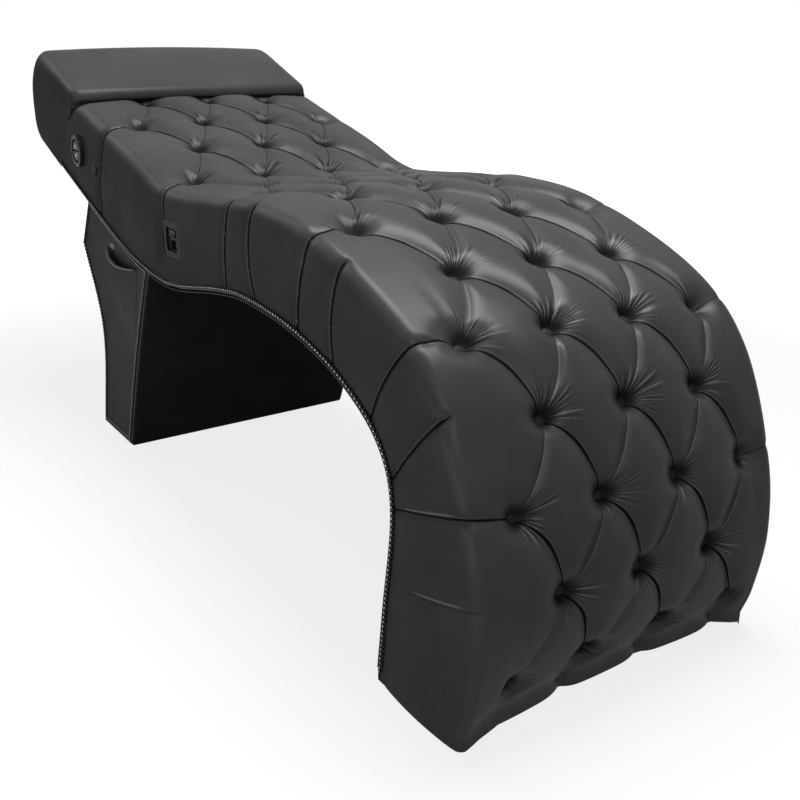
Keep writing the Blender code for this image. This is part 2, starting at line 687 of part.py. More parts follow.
# Pedestal

def lower_edge_height(x):
    """Height of the body's lower edge over the pedestal, on the pad's own facets."""
    edge = [section.bottom for section in PAD_SECTIONS if section.bottom[0] < ARCH_TOP_X]
    return float(np.interp(x, [point[0] for point in edge], [point[1] for point in edge]))


def lower_edge_between(x_from, x_to, drop):
    """Points of the body's lower edge between two places, lowered by a gap."""
    corners = [section.bottom[0] for section in PAD_SECTIONS if x_from < section.bottom[0] < x_to]
    return [(x, lower_edge_height(x) - drop) for x in [x_from] + corners + [x_to]]


def pedestal_back_line(count=15):
    """Waisted back edge, from the floor to the horn below the headrest."""
    line, _ = smooth_line([(PEDESTAL_BACK_FLOOR_X, PEDESTAL_FLOOR_Z),
                           (PEDESTAL_BACK_WAIST_X, PEDESTAL_BACK_WAIST_Z),
                           (PEDESTAL_HORN_X, PEDESTAL_HORN_Z)], count)
    return [tuple(point) for point in line]


def pedestal_front_line(count=7):
    """Slightly bowed front edge, from the body down to the floor."""
    top = np.array([PEDESTAL_FRONT_TOP_X, lower_edge_height(PEDESTAL_FRONT_TOP_X) - CLEAR])
    floor = np.array([PEDESTAL_FRONT_FLOOR_X, PEDESTAL_FLOOR_Z])
    chord = floor - top
    bow = np.array([chord[1], -chord[0]]) / np.hypot(*chord) * PEDESTAL_FRONT_BOW
    shares = np.linspace(0.0, 1.0, count)
    return [tuple(top + share * chord + bow * 4 * share * (1 - share)) for share in shares]


def pedestal_outline(inset=0.0):
    """The pedestal's side view, drawn in by an inset."""
    shoulder = lower_edge_between(PEDESTAL_SHOULDER_X, PEDESTAL_FRONT_TOP_X, CLEAR)
    outline = pedestal_back_line() + shoulder + pedestal_front_line()[1:]
    return inset_outline(outline, inset) if inset else outline


def inset_outline(outline, inset):
    """Move every corner of a closed outline inward by the same distance from both edges."""
    moved = []
    count = len(outline)
    for index in range(count):
        before, here, after = (np.array(outline[place % count]) for place in (index - 1, index, index + 1))
        first = (here - before) / np.hypot(*(here - before))
        second = (after - here) / np.hypot(*(after - here))
        normal_one, normal_two = np.array([first[1], -first[0]]), np.array([second[1], -second[0]])
        mid = normal_one + normal_two
        moved.append(tuple(here + mid * inset / (1.0 + float(normal_one @ normal_two))))
    return moved


def make_pedestal():
    """Waisted box under the head end."""
    for name, side in (("pedestal_side_right", -1), ("pedestal_side_left", 1)):
        y_low, y_high = sorted((side * PEDESTAL_HALF, side * PEDESTAL_INNER))
        prism(name, pedestal_outline(), y_low, y_high, "plain_leather")
    half = PEDESTAL_INNER - CLEAR
    outer, inner = pedestal_outline(), pedestal_outline(PEDESTAL_PANEL)
    back_count = len(pedestal_back_line())
    back = outer[:back_count + 1] + list(reversed(inner[:back_count + 1]))
    prism("pedestal_back", back, -half, half, "plain_leather")
    front_count = len(pedestal_front_line())
    front = outer[-front_count:] + list(reversed(inner[-front_count:]))
    prism("pedestal_front", front, -half, half, "plain_leather")
    base_back, base_front = inner[0][0] + CLEAR, inner[-1][0] - CLEAR
    low, high = PEDESTAL_FLOOR_Z, PEDESTAL_FLOOR_Z + PEDESTAL_BASE
    inner_back = float(np.interp(high, [point[1] for point in inner[:back_count]],
                                 [point[0] for point in inner[:back_count]]))
    prism("pedestal_base", [(max(base_back, inner_back + CLEAR), low), (base_front, low),
                            (base_front, high), (max(base_back, inner_back + CLEAR), high)],
          -half, half, "plywood")
    top_from, top_to = inner[back_count][0] + CLEAR, inner[-front_count][0] - CLEAR
    upper = lower_edge_between(top_from, top_to, CLEAR)
    lower = [(x, z - PEDESTAL_TOP) for x, z in upper]
    lower[0] = (lower[0][0] + PEDESTAL_TOP, lower[0][1])
    lower[-1] = (lower[-1][0] - PEDESTAL_TOP, lower[-1][1])
    prism("pedestal_top", upper + list(reversed(lower)), -half, half, "plywood")


def make_pedestal_trim(name, side):
    """Nail trim round the edge of one pedestal side."""
    outer, inner = pedestal_outline(TRIM_EDGE), pedestal_outline(TRIM_EDGE + TRIM_WIDTH)
    near, far = side * (PEDESTAL_HALF + CLEAR), side * (PEDESTAL_HALF + CLEAR + TRIM_THICKNESS)
    rings = [[(a[0], near, a[1]), (a[0], far, a[1]), (b[0], far, b[1]), (b[0], near, b[1])]
             for a, b in zip(outer, inner)]
    builder = loft(rings + [rings[0]], closed_ends=False)
    bmesh.ops.remove_doubles(builder, verts=builder.verts, dist=1e-6)
    add_mesh(name, builder, "nail_metal")


def make_pocket():
    """Soft pouch on the control side of the pedestal, with a gathered mouth."""
    across, high = POCKET_COLUMNS, POCKET_LEVELS
    face = -(PEDESTAL_HALF + CLEAR)
    outer, inner = [], []
    for level in range(high):
        share = level / (high - 1)
        row_out, row_in = [], []
        for place in range(across):
            side = place / (across - 1)
            belly = math.sin(math.pi * side) ** 0.8
            sag = POCKET_SAG * belly * share ** 2
            x = POCKET_X + (side - 0.5) * POCKET_WIDTH + (share - 0.5) * POCKET_LEAN
            z = POCKET_BOTTOM_Z + POCKET_HEIGHT * share - sag - POCKET_SLANT * (side - 0.5)
            swell = POCKET_DEPTH * belly * math.sin(0.5 * math.pi * min(1.0, 1.3 * share))
            wall = POCKET_HEM if level == high - 1 else POCKET_LEATHER
            row_out.append((x, face - swell - wall, z))
            row_in.append((x, face - swell, z))
        outer.append(row_out)
        inner.append(row_in)
    builder = bmesh.new()
    out_verts = [[builder.verts.new(point) for point in row] for row in outer]
    in_verts = [[builder.verts.new(point) for point in row] for row in inner]
    for level in range(high - 1):
        for place in range(across - 1):
            for grid in (out_verts, in_verts):
                builder.faces.new((grid[level][place], grid[level][place + 1],
                                   grid[level + 1][place + 1], grid[level + 1][place]))
    for level in range(high - 1):
        for place in (0, across - 1):
            builder.faces.new((out_verts[level][place], out_verts[level + 1][place],
                               in_verts[level + 1][place], in_verts[level][place]))
    for place in range(across - 1):
        for level in (0, high - 1):
            builder.faces.new((out_verts[level][place], out_verts[level][place + 1],
                               in_verts[level][place + 1], in_verts[level][place]))
    add_mesh("pocket", builder, "plain_leather")


# Round two-button control

def make_control():
    """Bezel ring, cup housing, two half-moon buttons and their springs."""
    centre = (CONTROL_X, 0.0, CONTROL_Z)
    seat = -(HALF_WIDTH + BAND_CROWN + CLEAR)
    front = seat - BEZEL_HEIGHT
    bore = HOUSING_RADIUS + CLEAR
    outline = filleted([(bore, seat, 0.0), (BEZEL_RADIUS, seat, 0.0), (BEZEL_RADIUS, front, BEZEL_ROUND),
                        (bore, front, BEZEL_ROUND / 2)], 4)
    bezel = turned("control_bezel", outline, "gloss_plastic")
    bezel.location = centre
    rim = front + BEZEL_ROUND
    back = rim + HOUSING_DEPTH
    inner = HOUSING_RADIUS - HOUSING_WALL
    cup = [(0.0, back), (HOUSING_RADIUS, back), (HOUSING_RADIUS, rim), (inner, rim),
           (inner, back - HOUSING_WALL), (0.0, back - HOUSING_WALL)]
    housing = turned_cup("control_housing", cup, "black_plastic")
    housing.location = centre
    floor = back - HOUSING_WALL
    for name, side in (("upper", 1), ("lower", -1)):
        make_button(f"control_button_{name}", side, inner - SLIDE_CLEAR, rim - BUTTON_PROUD)
        make_spring(f"button_spring_{name}", side, floor - CLEAR,
                    rim - BUTTON_PROUD + BUTTON_LENGTH + CLEAR)


def turned_cup(name, profile, slot):
    """A turned solid whose first and last points lie on the axis."""
    builder = bmesh.new()
    ends = [builder.verts.new((0.0, profile[place][1], 0.0)) for place in (0, -1)]
    rings = []
    for radius, y in profile[1:-1]:
        rings.append([builder.verts.new((radius * math.cos(2 * math.pi * step / ROUND_STEPS), y,
                                         radius * math.sin(2 * math.pi * step / ROUND_STEPS)))
                      for step in range(ROUND_STEPS)])
    for step in range(ROUND_STEPS):
        after = (step + 1) % ROUND_STEPS
        builder.faces.new((ends[0], rings[0][step], rings[0][after]))
        builder.faces.new((ends[1], rings[-1][after], rings[-1][step]))
        for one, two in zip(rings, rings[1:]):
            builder.faces.new((one[step], two[step], two[after], one[after]))
    return add_mesh(name, builder, slot)


def make_button(name, side, radius, front):
    """One half-moon push button, sliding along Y in the housing."""
    start = math.asin(BUTTON_SPLIT / 2 / radius)
    arc = [start + (math.pi - 2 * start) * step / BUTTON_STEPS for step in range(BUTTON_STEPS + 1)]
    levels = ((0.0, BUTTON_ROUND), (BUTTON_ROUND, 0.0), (BUTTON_LENGTH, 0.0))
    rings = []
    for depth, inset in levels:
        ring = []
        for angle in arc:
            x = (radius - inset) * math.cos(angle)
            z = max((radius - inset) * math.sin(angle), BUTTON_SPLIT / 2 + inset)
            ring.append((x, depth, side * z))
        rings.append(ring)
    button = add_mesh(name, loft(rings), "gloss_plastic")
    button.location = (CONTROL_X, front, CONTROL_Z)


def make_spring(name, side, floor, top):
    """Return spring behind a button, standing on the housing floor."""
    curve = bpy.data.curves.new(name, "CURVE")
    curve.dimensions = "3D"
    curve.bevel_depth = SPRING_WIRE
    curve.bevel_resolution = 1
    curve.use_fill_caps = True
    spline = curve.splines.new("POLY")
    points = SPRING_TURNS * SPRING_STEPS + 1
    spline.points.add(points - 1)
    first, last = floor - SPRING_WIRE, top + SPRING_WIRE
    for index, point in enumerate(spline.points):
        share = index / (points - 1)
        angle = 2 * math.pi * SPRING_TURNS * share
        point.co = (SPRING_RADIUS * math.cos(angle), first + (last - first) * share,
                    SPRING_RADIUS * math.sin(angle), 1.0)
    curve.materials.append(MATERIALS["spring_steel"])
    spring = bpy.data.objects.new(name, curve)
    bpy.context.scene.collection.objects.link(spring)
    spring.location = (CONTROL_X, 0.0, CONTROL_Z + side * SPRING_Z)


# Power inlet with rocker switch

def module_size():
    """Outer length and height of the inlet module behind its plate."""
    return WINDOW_LENGTH + 2 * MODULE_FLANGE, WINDOW_HEIGHT + 2 * MODULE_FLANGE


def make_inlet():
    """Recessed plate, moulded module with socket and rocker well, contact pins and rocker."""
    plate_back, plate_front = -BAND_INNER, -(HALF_WIDTH - PLATE_RECESS)
    face = rounded_rectangle(INLET_X, INLET_Z, PLATE_LENGTH, PLATE_HEIGHT, PLATE_CORNER)
    plate = prism("inlet_plate", face, plate_front, plate_back, "black_plastic")
    opening = rounded_rectangle(INLET_X, INLET_Z, WINDOW_LENGTH, WINDOW_HEIGHT, WINDOW_CORNER)
    cut(plate, prism("inlet_window", opening, plate_front - PLATE_CORNER, plate_back + PLATE_CORNER,
                     "black_plastic"))
    module_front = plate_front + MODULE_RECESS
    module_back = module_front + MODULE_DEPTH
    flange = plate_back + CLEAR
    length, height = module_size()
    neck = rounded_rectangle(INLET_X, INLET_Z, WINDOW_LENGTH - 2 * CLEAR, WINDOW_HEIGHT - 2 * CLEAR,
                             WINDOW_CORNER)
    body = rounded_rectangle(INLET_X, INLET_Z, length, height, WINDOW_CORNER)
    rings = [[(x, y, z) for x, z in outline] for y, outline in
             ((module_front, neck), (flange, neck), (flange, body), (module_back, body))]
    module = add_mesh("inlet_module", loft(rings), "black_plastic")
    socket_z, well_z = INLET_Z + SOCKET_Z, INLET_Z + WELL_Z
    mouth = module_front - MODULE_RECESS
    left, right = INLET_X - SOCKET_LENGTH / 2, INLET_X + SOCKET_LENGTH / 2
    low, high = socket_z - SOCKET_HEIGHT / 2, socket_z + SOCKET_HEIGHT / 2
    socket = prism("socket_cavity", filleted([
        (left, low, SOCKET_FOOT_ROUND), (right, low, SOCKET_FOOT_ROUND),
        (right, high, SOCKET_HEAD_ROUND), (left, high, SOCKET_HEAD_ROUND)], 3),
        mouth, module_front + SOCKET_DEPTH, "black_plastic")
    well = prism("rocker_well", rounded_rectangle(INLET_X, well_z, WELL_LENGTH, WELL_HEIGHT, WELL_ROUND, 1),
                 mouth, module_front + WELL_DEPTH, "black_plastic")
    cut(module, socket)
    cut(module, well)
    floor = module_front + SOCKET_DEPTH - CLEAR
    places = {"inlet_pin_live": (-PIN_SPREAD, -EARTH_RISE), "inlet_pin_earth": (0.0, EARTH_RISE),
              "inlet_pin_neutral": (PIN_SPREAD, -EARTH_RISE)}
    for name, (dx, dz) in places.items():
        x, z = INLET_X + dx, socket_z + dz
        prism(name, rounded_rectangle(x, z, PIN_WIDTH, PIN_HEIGHT, PIN_WIDTH / 4, 2),
              floor - PIN_LENGTH, floor, "brass_pin")
    make_rocker(module_front + ROCKER_PIN_SINK, well_z)


def make_rocker(axis_y, axis_z):
    """Rocker that tips about its cross pin, resting with its lower end pressed in."""
    half = ROCKER_HEIGHT / 2
    crown = ROCKER_PIN_SINK + ROCKER_PROUD
    profile = [(-crown, -half), (-crown + ROCKER_DIP, 0.0), (-crown, half), (0.0, half)]
    profile += [(ROCKER_HUB * math.sin(angle), ROCKER_HUB * math.cos(angle))
                for angle in (math.pi * step / 8 for step in range(9))]
    profile += [(0.0, -half)]
    rings = [[(x, y, z) for y, z in profile] for x in (-ROCKER_LENGTH / 2, ROCKER_LENGTH / 2)]
    rocker = add_mesh("rocker_switch", loft(rings), "gloss_plastic")
    rocker.location = (INLET_X, axis_y, axis_z)
    rocker.rotation_euler = (-ROCKER_REST, 0.0, 0.0)
    turns = [2 * math.pi * step / ROCKER_STEPS for step in range(ROCKER_STEPS)]

    def rod(name, radius, length):
        rings = [[(x, radius * math.cos(turn), radius * math.sin(turn)) for turn in turns]
                 for x in (-length / 2, length / 2)]
        item = add_mesh(name, loft(rings), "spring_steel")
        item.location = (INLET_X, axis_y, axis_z)
        return item

    rod("rocker_pin", ROCKER_PIN_RADIUS, WELL_LENGTH - 2 * CLEAR)
    cut(rocker, rod("rocker_bore", ROCKER_PIN_RADIUS + CLEAR, WELL_LENGTH))


# Massage drive

def make_drive(facets):
    """Control box on the control side frame and two vibration motors under the deck."""
    outer = -FRAME_INNER + CLEAR
    prism("control_box", rounded_rectangle(BOX_X, BOX_Z, BOX_LENGTH, BOX_HEIGHT, BOX_ROUND, 2),
          outer, outer + BOX_DEPTH, "black_plastic")
    half = MOTOR_FLANGE / 2
    for name, place in MOTOR_PLACES.items():
        seat, along, up = deck_seat(crown_run(*place), facets)
        flange_ring = []
        can_ring = []
        for step in range(MOTOR_STEPS):
            angle = 2 * math.pi * step / MOTOR_STEPS
            reach = half / max(abs(math.cos(angle)), abs(math.sin(angle)))
            flange_ring.append((reach * math.cos(angle), reach * math.sin(angle)))
            can_ring.append((MOTOR_RADIUS * math.cos(angle), MOTOR_RADIUS * math.sin(angle)))
        levels = ((0.0, flange_ring), (-MOTOR_FLANGE_THICKNESS, flange_ring),
                  (-MOTOR_FLANGE_THICKNESS, can_ring), (-MOTOR_FLANGE_THICKNESS - MOTOR_HEIGHT, can_ring))
        rings = [[(x, y, z) for x, y in ring] for z, ring in levels]
        motor = add_mesh(name, loft(rings), "black_plastic")
        motor.location = (seat[0], 0.0, seat[1])
        motor.rotation_euler = (0.0, math.atan2(up[0], up[1]), 0.0)


def main():
    reset_scene()
    for slot, (colour, roughness, metallic) in FINISHES.items():
        MATERIALS[slot] = finish(slot, colour, roughness, metallic)
    make_tufted_pad()
    make_headrest_pad()
    make_body_frame()
    free_facets = list(zip(PAD_SECTIONS, PAD_SECTIONS[1:]))
    make_rails(free_facets)
    make_glides()
    make_pedestal()
    for name, side in (("right", -1), ("left", 1)):
        trim_ribbon(f"nail_trim_{name}", side)
        make_pedestal_trim(f"pedestal_trim_{name}", side)
    make_pocket()
    make_control()
    make_inlet()
    make_drive(free_facets)


main()
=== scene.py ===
# %% [markdown]
# # A deep-buttoned treatment bed
# The bed is one long S-curve of plywood under foam and black leather. Its hard parts come from the CAD
# model, which stays fixed. This lesson dresses that frame: leather, buttons, nail heads, a pocket,
# light and a camera. The hard parts could be modelled again here, but loading them keeps every piece in
# one shared space.

# %% Load the frame
import json
import math

import bpy
import numpy as np
from mathutils import Matrix, Vector


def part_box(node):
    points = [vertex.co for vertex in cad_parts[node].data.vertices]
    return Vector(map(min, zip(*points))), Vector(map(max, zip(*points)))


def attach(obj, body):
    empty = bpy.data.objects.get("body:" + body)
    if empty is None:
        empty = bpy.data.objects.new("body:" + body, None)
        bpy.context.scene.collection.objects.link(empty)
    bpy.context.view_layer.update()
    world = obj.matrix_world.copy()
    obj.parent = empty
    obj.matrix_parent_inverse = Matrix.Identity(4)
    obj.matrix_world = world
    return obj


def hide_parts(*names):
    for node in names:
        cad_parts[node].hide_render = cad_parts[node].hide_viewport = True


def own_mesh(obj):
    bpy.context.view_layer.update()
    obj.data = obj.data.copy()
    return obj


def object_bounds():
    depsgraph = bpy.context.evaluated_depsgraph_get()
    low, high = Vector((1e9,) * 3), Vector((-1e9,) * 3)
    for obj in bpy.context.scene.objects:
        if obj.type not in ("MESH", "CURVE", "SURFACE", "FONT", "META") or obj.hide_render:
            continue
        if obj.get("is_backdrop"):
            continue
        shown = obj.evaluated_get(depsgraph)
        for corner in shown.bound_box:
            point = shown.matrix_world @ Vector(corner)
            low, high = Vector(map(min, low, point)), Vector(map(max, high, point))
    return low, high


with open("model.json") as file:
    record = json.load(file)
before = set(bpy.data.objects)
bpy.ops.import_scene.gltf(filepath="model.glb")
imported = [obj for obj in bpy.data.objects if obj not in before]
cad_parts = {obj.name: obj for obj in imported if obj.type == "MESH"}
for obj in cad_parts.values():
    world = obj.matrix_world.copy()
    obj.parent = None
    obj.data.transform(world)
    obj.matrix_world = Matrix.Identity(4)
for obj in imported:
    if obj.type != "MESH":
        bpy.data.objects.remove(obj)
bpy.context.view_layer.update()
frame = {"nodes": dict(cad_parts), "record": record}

# %% [markdown]
# ## The camera
# The photograph looks down on the foot end from the control side. A camera could be placed by eye, but
# this one's lens and place were solved from the bed's own outline. It comes first, so that every piece
# can be compared with the picture from then on.

# %% Camera
CAMERA_PLACE = Vector((1.8155, -1.009, 0.953))
CAMERA_LOOK = Vector((-0.7818, 0.5208, -0.3429))
CAMERA_LENS, CAMERA_SENSOR = 44.76, 36.0


def nothing_selected():
    """Leave edit mode and let go of every object, because operators act on all that is selected."""
    if bpy.context.mode != "OBJECT":
        bpy.ops.object.mode_set(mode="OBJECT")
    bpy.ops.object.select_all(action="DESELECT")


nothing_selected()
bpy.ops.object.camera_add(location=CAMERA_PLACE, rotation=CAMERA_LOOK.to_track_quat("-Z", "Y").to_euler())
camera = bpy.context.active_object
camera.data.sensor_width = CAMERA_SENSOR
camera.data.lens = CAMERA_LENS
bpy.context.scene.camera = camera
print("camera lens", camera.data.lens)

# %% [markdown]
# ## The body's own line
# Every layer of the bed follows two lines in the side view: the crown line along the top and the lower
# edge along the arch. They could be drawn as Blender curves, but arrays of points are easier to
# measure. The same points as in the CAD part are joined by a smooth curve, and a section pairs a place
# on the crown with a place on the lower edge. Buttons, creases, nails and leather are all laid out on
# these sections.

# %% Crown line, lower edge and sections
FOOT_Z = 0.0246
CROWN_POINTS = [(-0.608, 0.818), (-0.285, 0.730), (-0.093, 0.677), (0.153, 0.689),
                (0.314, 0.699), (0.506, 0.680), (0.734, 0.600), (0.853, 0.499),
                (0.924, 0.335), (0.943, 0.200), (0.928, 0.085), (0.909, FOOT_Z)]
LOWER_POINTS = [(-0.761, 0.648), (-0.406, 0.530), (-0.245, 0.491), (-0.072, 0.478),
                (0.154, 0.514), (0.278, 0.525), (0.446, 0.511), (0.599, 0.470),
                (0.702, 0.405), (0.736, 0.312), (0.714, 0.142), (0.698, FOOT_Z)]
SIDE_LEAN = 0.09
CURVE_STEPS = 24


def run_along(points):
    """Distance along a line in the side view at each of its points."""
    return np.concatenate([[0.0], np.cumsum(np.hypot(*np.diff(points, axis=0).T))])


def smooth_line(points, count=400):
    """Even points on a smooth curve through the given points, and its length."""
    known = np.array(points)
    known = np.vstack([2 * known[0] - known[1], known, 2 * known[-1] - known[-2]])
    curve = []
    for a, b, c, d in zip(known, known[1:], known[2:], known[3:]):
        for step in np.linspace(0.0, 1.0, CURVE_STEPS, endpoint=False):
            curve.append(0.5 * (2 * b + (c - a) * step + (2 * a - 5 * b + 4 * c - d) * step ** 2
                                + (3 * b - a - 3 * c + d) * step ** 3))
    curve = np.array(curve + [known[-2]])
    run = run_along(curve)
    even = np.linspace(0.0, run[-1], count)
    return np.column_stack([np.interp(even, run, curve[:, axis]) for axis in (0, 1)]), run[-1]


CROWN_LINE, CROWN_LENGTH = smooth_line(CROWN_POINTS)
LOWER_LINE, LOWER_LENGTH = smooth_line(LOWER_POINTS)


def on_line(line, share):
    """Points at shares of a line's length."""
    place = np.clip(share, 0.0, 1.0) * (len(line) - 1)
    return np.column_stack([np.interp(place, np.arange(len(line)), line[:, axis]) for axis in (0, 1)])


def sections(runs):
    """Crown points, lower points and upward directions of the body at runs along the crown line."""
    share = np.asarray(runs) / CROWN_LENGTH
    top = on_line(CROWN_LINE, share)
    low = on_line(LOWER_LINE, share + SIDE_LEAN * np.sin(np.pi * share))
    up = top - low
    return top, low, up / np.linalg.norm(up, axis=1)[:, None]


print("crown line %.3f m, lower edge %.3f m" % (CROWN_LENGTH, LOWER_LENGTH))

# %% [markdown]
# ## Where the buttons are
# The buttons stand in rows of three and four by turns, so each pair of rows makes a line of diamonds.
# Rows stand wider apart on the flat of the bed and closer round the bend. A list of places would do for
# the buttons alone. A rule is shorter, and it also gives every point between them a row number and a
# column number with fractions.

# %% Button lattice
TUFT_ROWS, FIRST_ROW, ROW_PITCH, COLUMN_PITCH = 14, 0.048, 0.1482, 0.152
ROW_EASE, ROW_EASE_SKEW = 0.075, 1.3
ROW_NUDGE, NUDGED_ROW, NUDGE_SPREAD = -0.024, 6.4, 1.1
BUTTON_SHIFT, BUTTON_SKEW, HEM_SPREAD = 0.012, 0.006, 0.07
THREE, FOUR = (-2, 0, 2), (-3, -1, 1, 3)


def ease(value):
    """Smooth step from 0 to 1."""
    value = np.clip(value, 0.0, 1.0)
    return value * value * (3 - 2 * value)


def row_run(row):
    """Run along the crown line of a button row."""
    row = np.asarray(row)
    share = np.clip(row / (TUFT_ROWS - 1), 0.0, 1.0)
    wider = ROW_EASE * np.sin(np.pi * share ** ROW_EASE_SKEW) ** 2
    nudge = ROW_NUDGE * np.exp(-((row - NUDGED_ROW) / NUDGE_SPREAD) ** 2)
    return FIRST_ROW + row * ROW_PITCH + wider + nudge


ROW_STEPS = np.arange(-4, 4 * TUFT_ROWS + 5) / 4
ROW_RUNS = row_run(ROW_STEPS)


def row_at(run, y=0.0):
    """Row number, with its fraction, at a run and a place across. The rows stand slightly askew."""
    return np.interp(run - BUTTON_SKEW * y / COLUMN_PITCH, ROW_RUNS, ROW_STEPS)


def column_width(row):
    """Half the distance between two buttons of a row. The last rows are drawn apart towards the hem."""
    return COLUMN_PITCH / 2 * (1 + HEM_SPREAD * ease(row - TUFT_ROWS + 2))


def column_at(y, row):
    """Column number, with its fraction, at a place across."""
    return (y - BUTTON_SHIFT) / column_width(row)


BUTTONS = [(row, column) for row in range(TUFT_ROWS) for column in (THREE, FOUR)[row % 2]]
print(len(BUTTONS), "buttons")

# %% [markdown]
# ## Folds and pits
# On the real bed the leather is pulled down at each button and folds along the diamonds, so every
# diamond swells into a small pillow. A cloth simulation could do this, but each fold has a fixed place
# in the photograph, so the depth is worked out instead. Two slanting numbers, one for each diagonal
# family of folds, are whole at every fold, and both are whole at a button. A point sinks by its
# distance to the nearest button and the nearest folds, and small wrinkles fan out round each button.

# %% Folds and pits
BUTTON_SINK, FOLD_SINK, CROSS_SHARE = 0.030, 0.0140, 0.70
CROSS_POWERS, FOLD_POWERS = (8, 2.8), (2.4, 3.4)
CROSS_BOW, FOLD_BOW, BOW_POWER = -0.050, 0.095, 1.4
FADED_ROW, FADED_OVER, FADED_SHARE = 11.8, 0.6, 0.6
PIT_FLOOR, PIT_SLOPE, PIT_POWER, PIT_REACH, PIT_FADE = 0.007, 0.019, 1.1, 0.030, 0.045
FAN_COUNT, FAN_HEIGHT, FAN_RIDGE = 15, 0.0026, 0.4
FAN_START, FAN_RISE, FAN_FADE, FAN_SHORT, FAN_LONGER = 0.010, 0.012, 0.012, 0.020, 0.055
FAN_HEADWARD, FAN_TURN, FAN_ROW, FAN_JUMP, JUMP_ROW = 2.95, 0.33, 7.0, 0.70, 3.5
FAN_SWAY = ((2, 0.40, 6.0), (5, 0.22, 17.0))
SEED_TURNS, SEED_SPREAD = (12.99, 78.23), 37.5
CHANCE_TURNS, CHANCE_SPREAD, STRENGTH_SPREAD = (7.13, 31.7), 91.7, 7.7


def off_whole(value):
    """Signed distance to the nearest whole number."""
    return value - np.round(value)


def share_of(value):
    """What is left of a value after its whole part."""
    return value - np.floor(value)


def pit(reach):
    """Depth of a button's pit over the distance from its middle."""
    fade = 1 - ease((reach - PIT_REACH) / PIT_FADE)
    return BUTTON_SINK * np.exp(-(np.maximum(0.0, reach - PIT_FLOOR) / PIT_SLOPE) ** PIT_POWER) * fade


def slants(row, column):
    """The two slanting numbers. Both families of folds bow, the second more."""
    one, two = (row + column) / 2, (row - column) / 2
    return (one + CROSS_BOW * np.abs(np.sin(np.pi * two)) ** BOW_POWER,
            two + FOLD_BOW * np.abs(np.sin(np.pi * one)) ** BOW_POWER)


def wrinkle_fan(reach, angle, seed, row):
    """Height of the wrinkles round a button: they fan out headward on the seat and across on the shin."""
    later = np.round(row) - FAN_ROW
    ahead = FAN_HEADWARD - FAN_TURN * np.maximum(0.0, later) - FAN_JUMP * (later > JUMP_ROW)
    bold = 0.4 + 0.6 * ease((later + 0.5) / 2.5)
    turn = angle * FAN_COUNT / (2 * math.pi) + seed
    for waves, width, shift in FAN_SWAY:
        turn = turn + width * np.sin(waves * angle + shift * seed)
    chance = np.round(turn) * CHANCE_TURNS[0] + seed * CHANCE_TURNS[1]
    chance = share_of(np.sin(chance) * CHANCE_SPREAD)
    groove = (1 - np.abs(2 * off_whole(turn))) ** 1.5
    facing = 0.15 + 0.85 * ease(np.cos(angle - ahead) / 0.8)
    near = ease((reach - FAN_START) / FAN_RISE)
    near = near * (1 - ease((reach - FAN_FADE) / (FAN_SHORT + FAN_LONGER * chance)))
    strength = 0.3 + 1.2 * share_of(STRENGTH_SPREAD * chance)
    return FAN_HEIGHT * bold * (FAN_RIDGE - groove) * strength * facing * near


def lattice_depth(row, column):
    """Sink of the diamonds: every diamond is a pillow between its folds, deepest at the buttons."""
    one, two = slants(row, column)
    off_one, off_two = off_whole(one), off_whole(two)
    pillow_one, pillow_two = 1 - 2 * np.abs(off_one), 1 - 2 * np.abs(off_two)
    flanks = np.where(off_one > 0, pillow_one ** CROSS_POWERS[0], pillow_one ** CROSS_POWERS[1])
    cross = FOLD_SINK * CROSS_SHARE * flanks * (1 - FADED_SHARE * ease((row - FADED_ROW) / FADED_OVER))
    bowed = FOLD_SINK * np.where(off_two > 0, pillow_two ** FOLD_POWERS[0], pillow_two ** FOLD_POWERS[1])
    straight_one, straight_two = off_whole((row + column) / 2), off_whole((row - column) / 2)
    down = (straight_one + straight_two) * ROW_PITCH
    side = (straight_one - straight_two) * COLUMN_PITCH / 2
    reach = np.hypot(down, side)
    seed = np.round((row + column) / 2) * SEED_TURNS[0] + np.round((row - column) / 2) * SEED_TURNS[1]
    seed = share_of(np.sin(seed) * SEED_SPREAD)
    fan = wrinkle_fan(reach, np.arctan2(side, down), seed, row)
    return (cross ** 3 + bowed ** 3 + pit(reach) ** 3) ** (1 / 3) - fan


print("fold depth %.1f mm, button depth %.1f mm" % (FOLD_SINK * 1000, BUTTON_SINK * 1000))

# %% [markdown]
# ## Pleats on the sides
# At the outer buttons the folds run on over the rounded edge and down the side as pleats, and a few more
# start on the edge itself. No two are alike, so they come from a table, not from a rule. Each has the
# button row that it starts from, or none, its rows at the edge and at its low end, its strength, how far
# down it ends and how bright the painted highlight streak beside it is. Its headward flap lies over the
# other, so the other side of the line is deeper.

# %% Side pleats
SIDE_PLEATS = [(1, 1.09, 1.31, 1.0, 0.40, 0.0), (3, 3.26, 3.46, 1.0, 0.155, 0.0),
               (5, 5.16, 5.28, 1.0, 0.40, 0.3), (None, 5.81, 6.27, 1.0, 0.40, 0.3),
               (7, 7.04, 7.13, 1.0, 0.40, 0.0), (None, 7.61, 8.10, 1.0, 0.40, 0.0),
               (9, 8.93, 8.96, 1.0, 0.40, 0.0), (None, 9.80, 9.92, 1.0, 0.40, 0.0),
               (11, 10.88, 10.22, 1.0, 0.40, 2.2), (None, 11.88, 11.74, 0.30, 0.26, 1.6)]
PLEAT_START, PLEAT_RISE, PLEAT_EDGE, PLEAT_LOW = 0.064, 0.022, 0.085, 0.30
PLEAT_SINK, PLEAT_LINE, PLEAT_SOFT, PLEAT_REACH, PLEAT_FADE = 0.0055, 0.0055, 0.012, 0.030, 0.035
END_EARLY, END_FADE = 0.04, 0.05
BUTTON_PULL, PULL_REACH, PIT_LIMIT = 0.0020, 0.03, 0.12
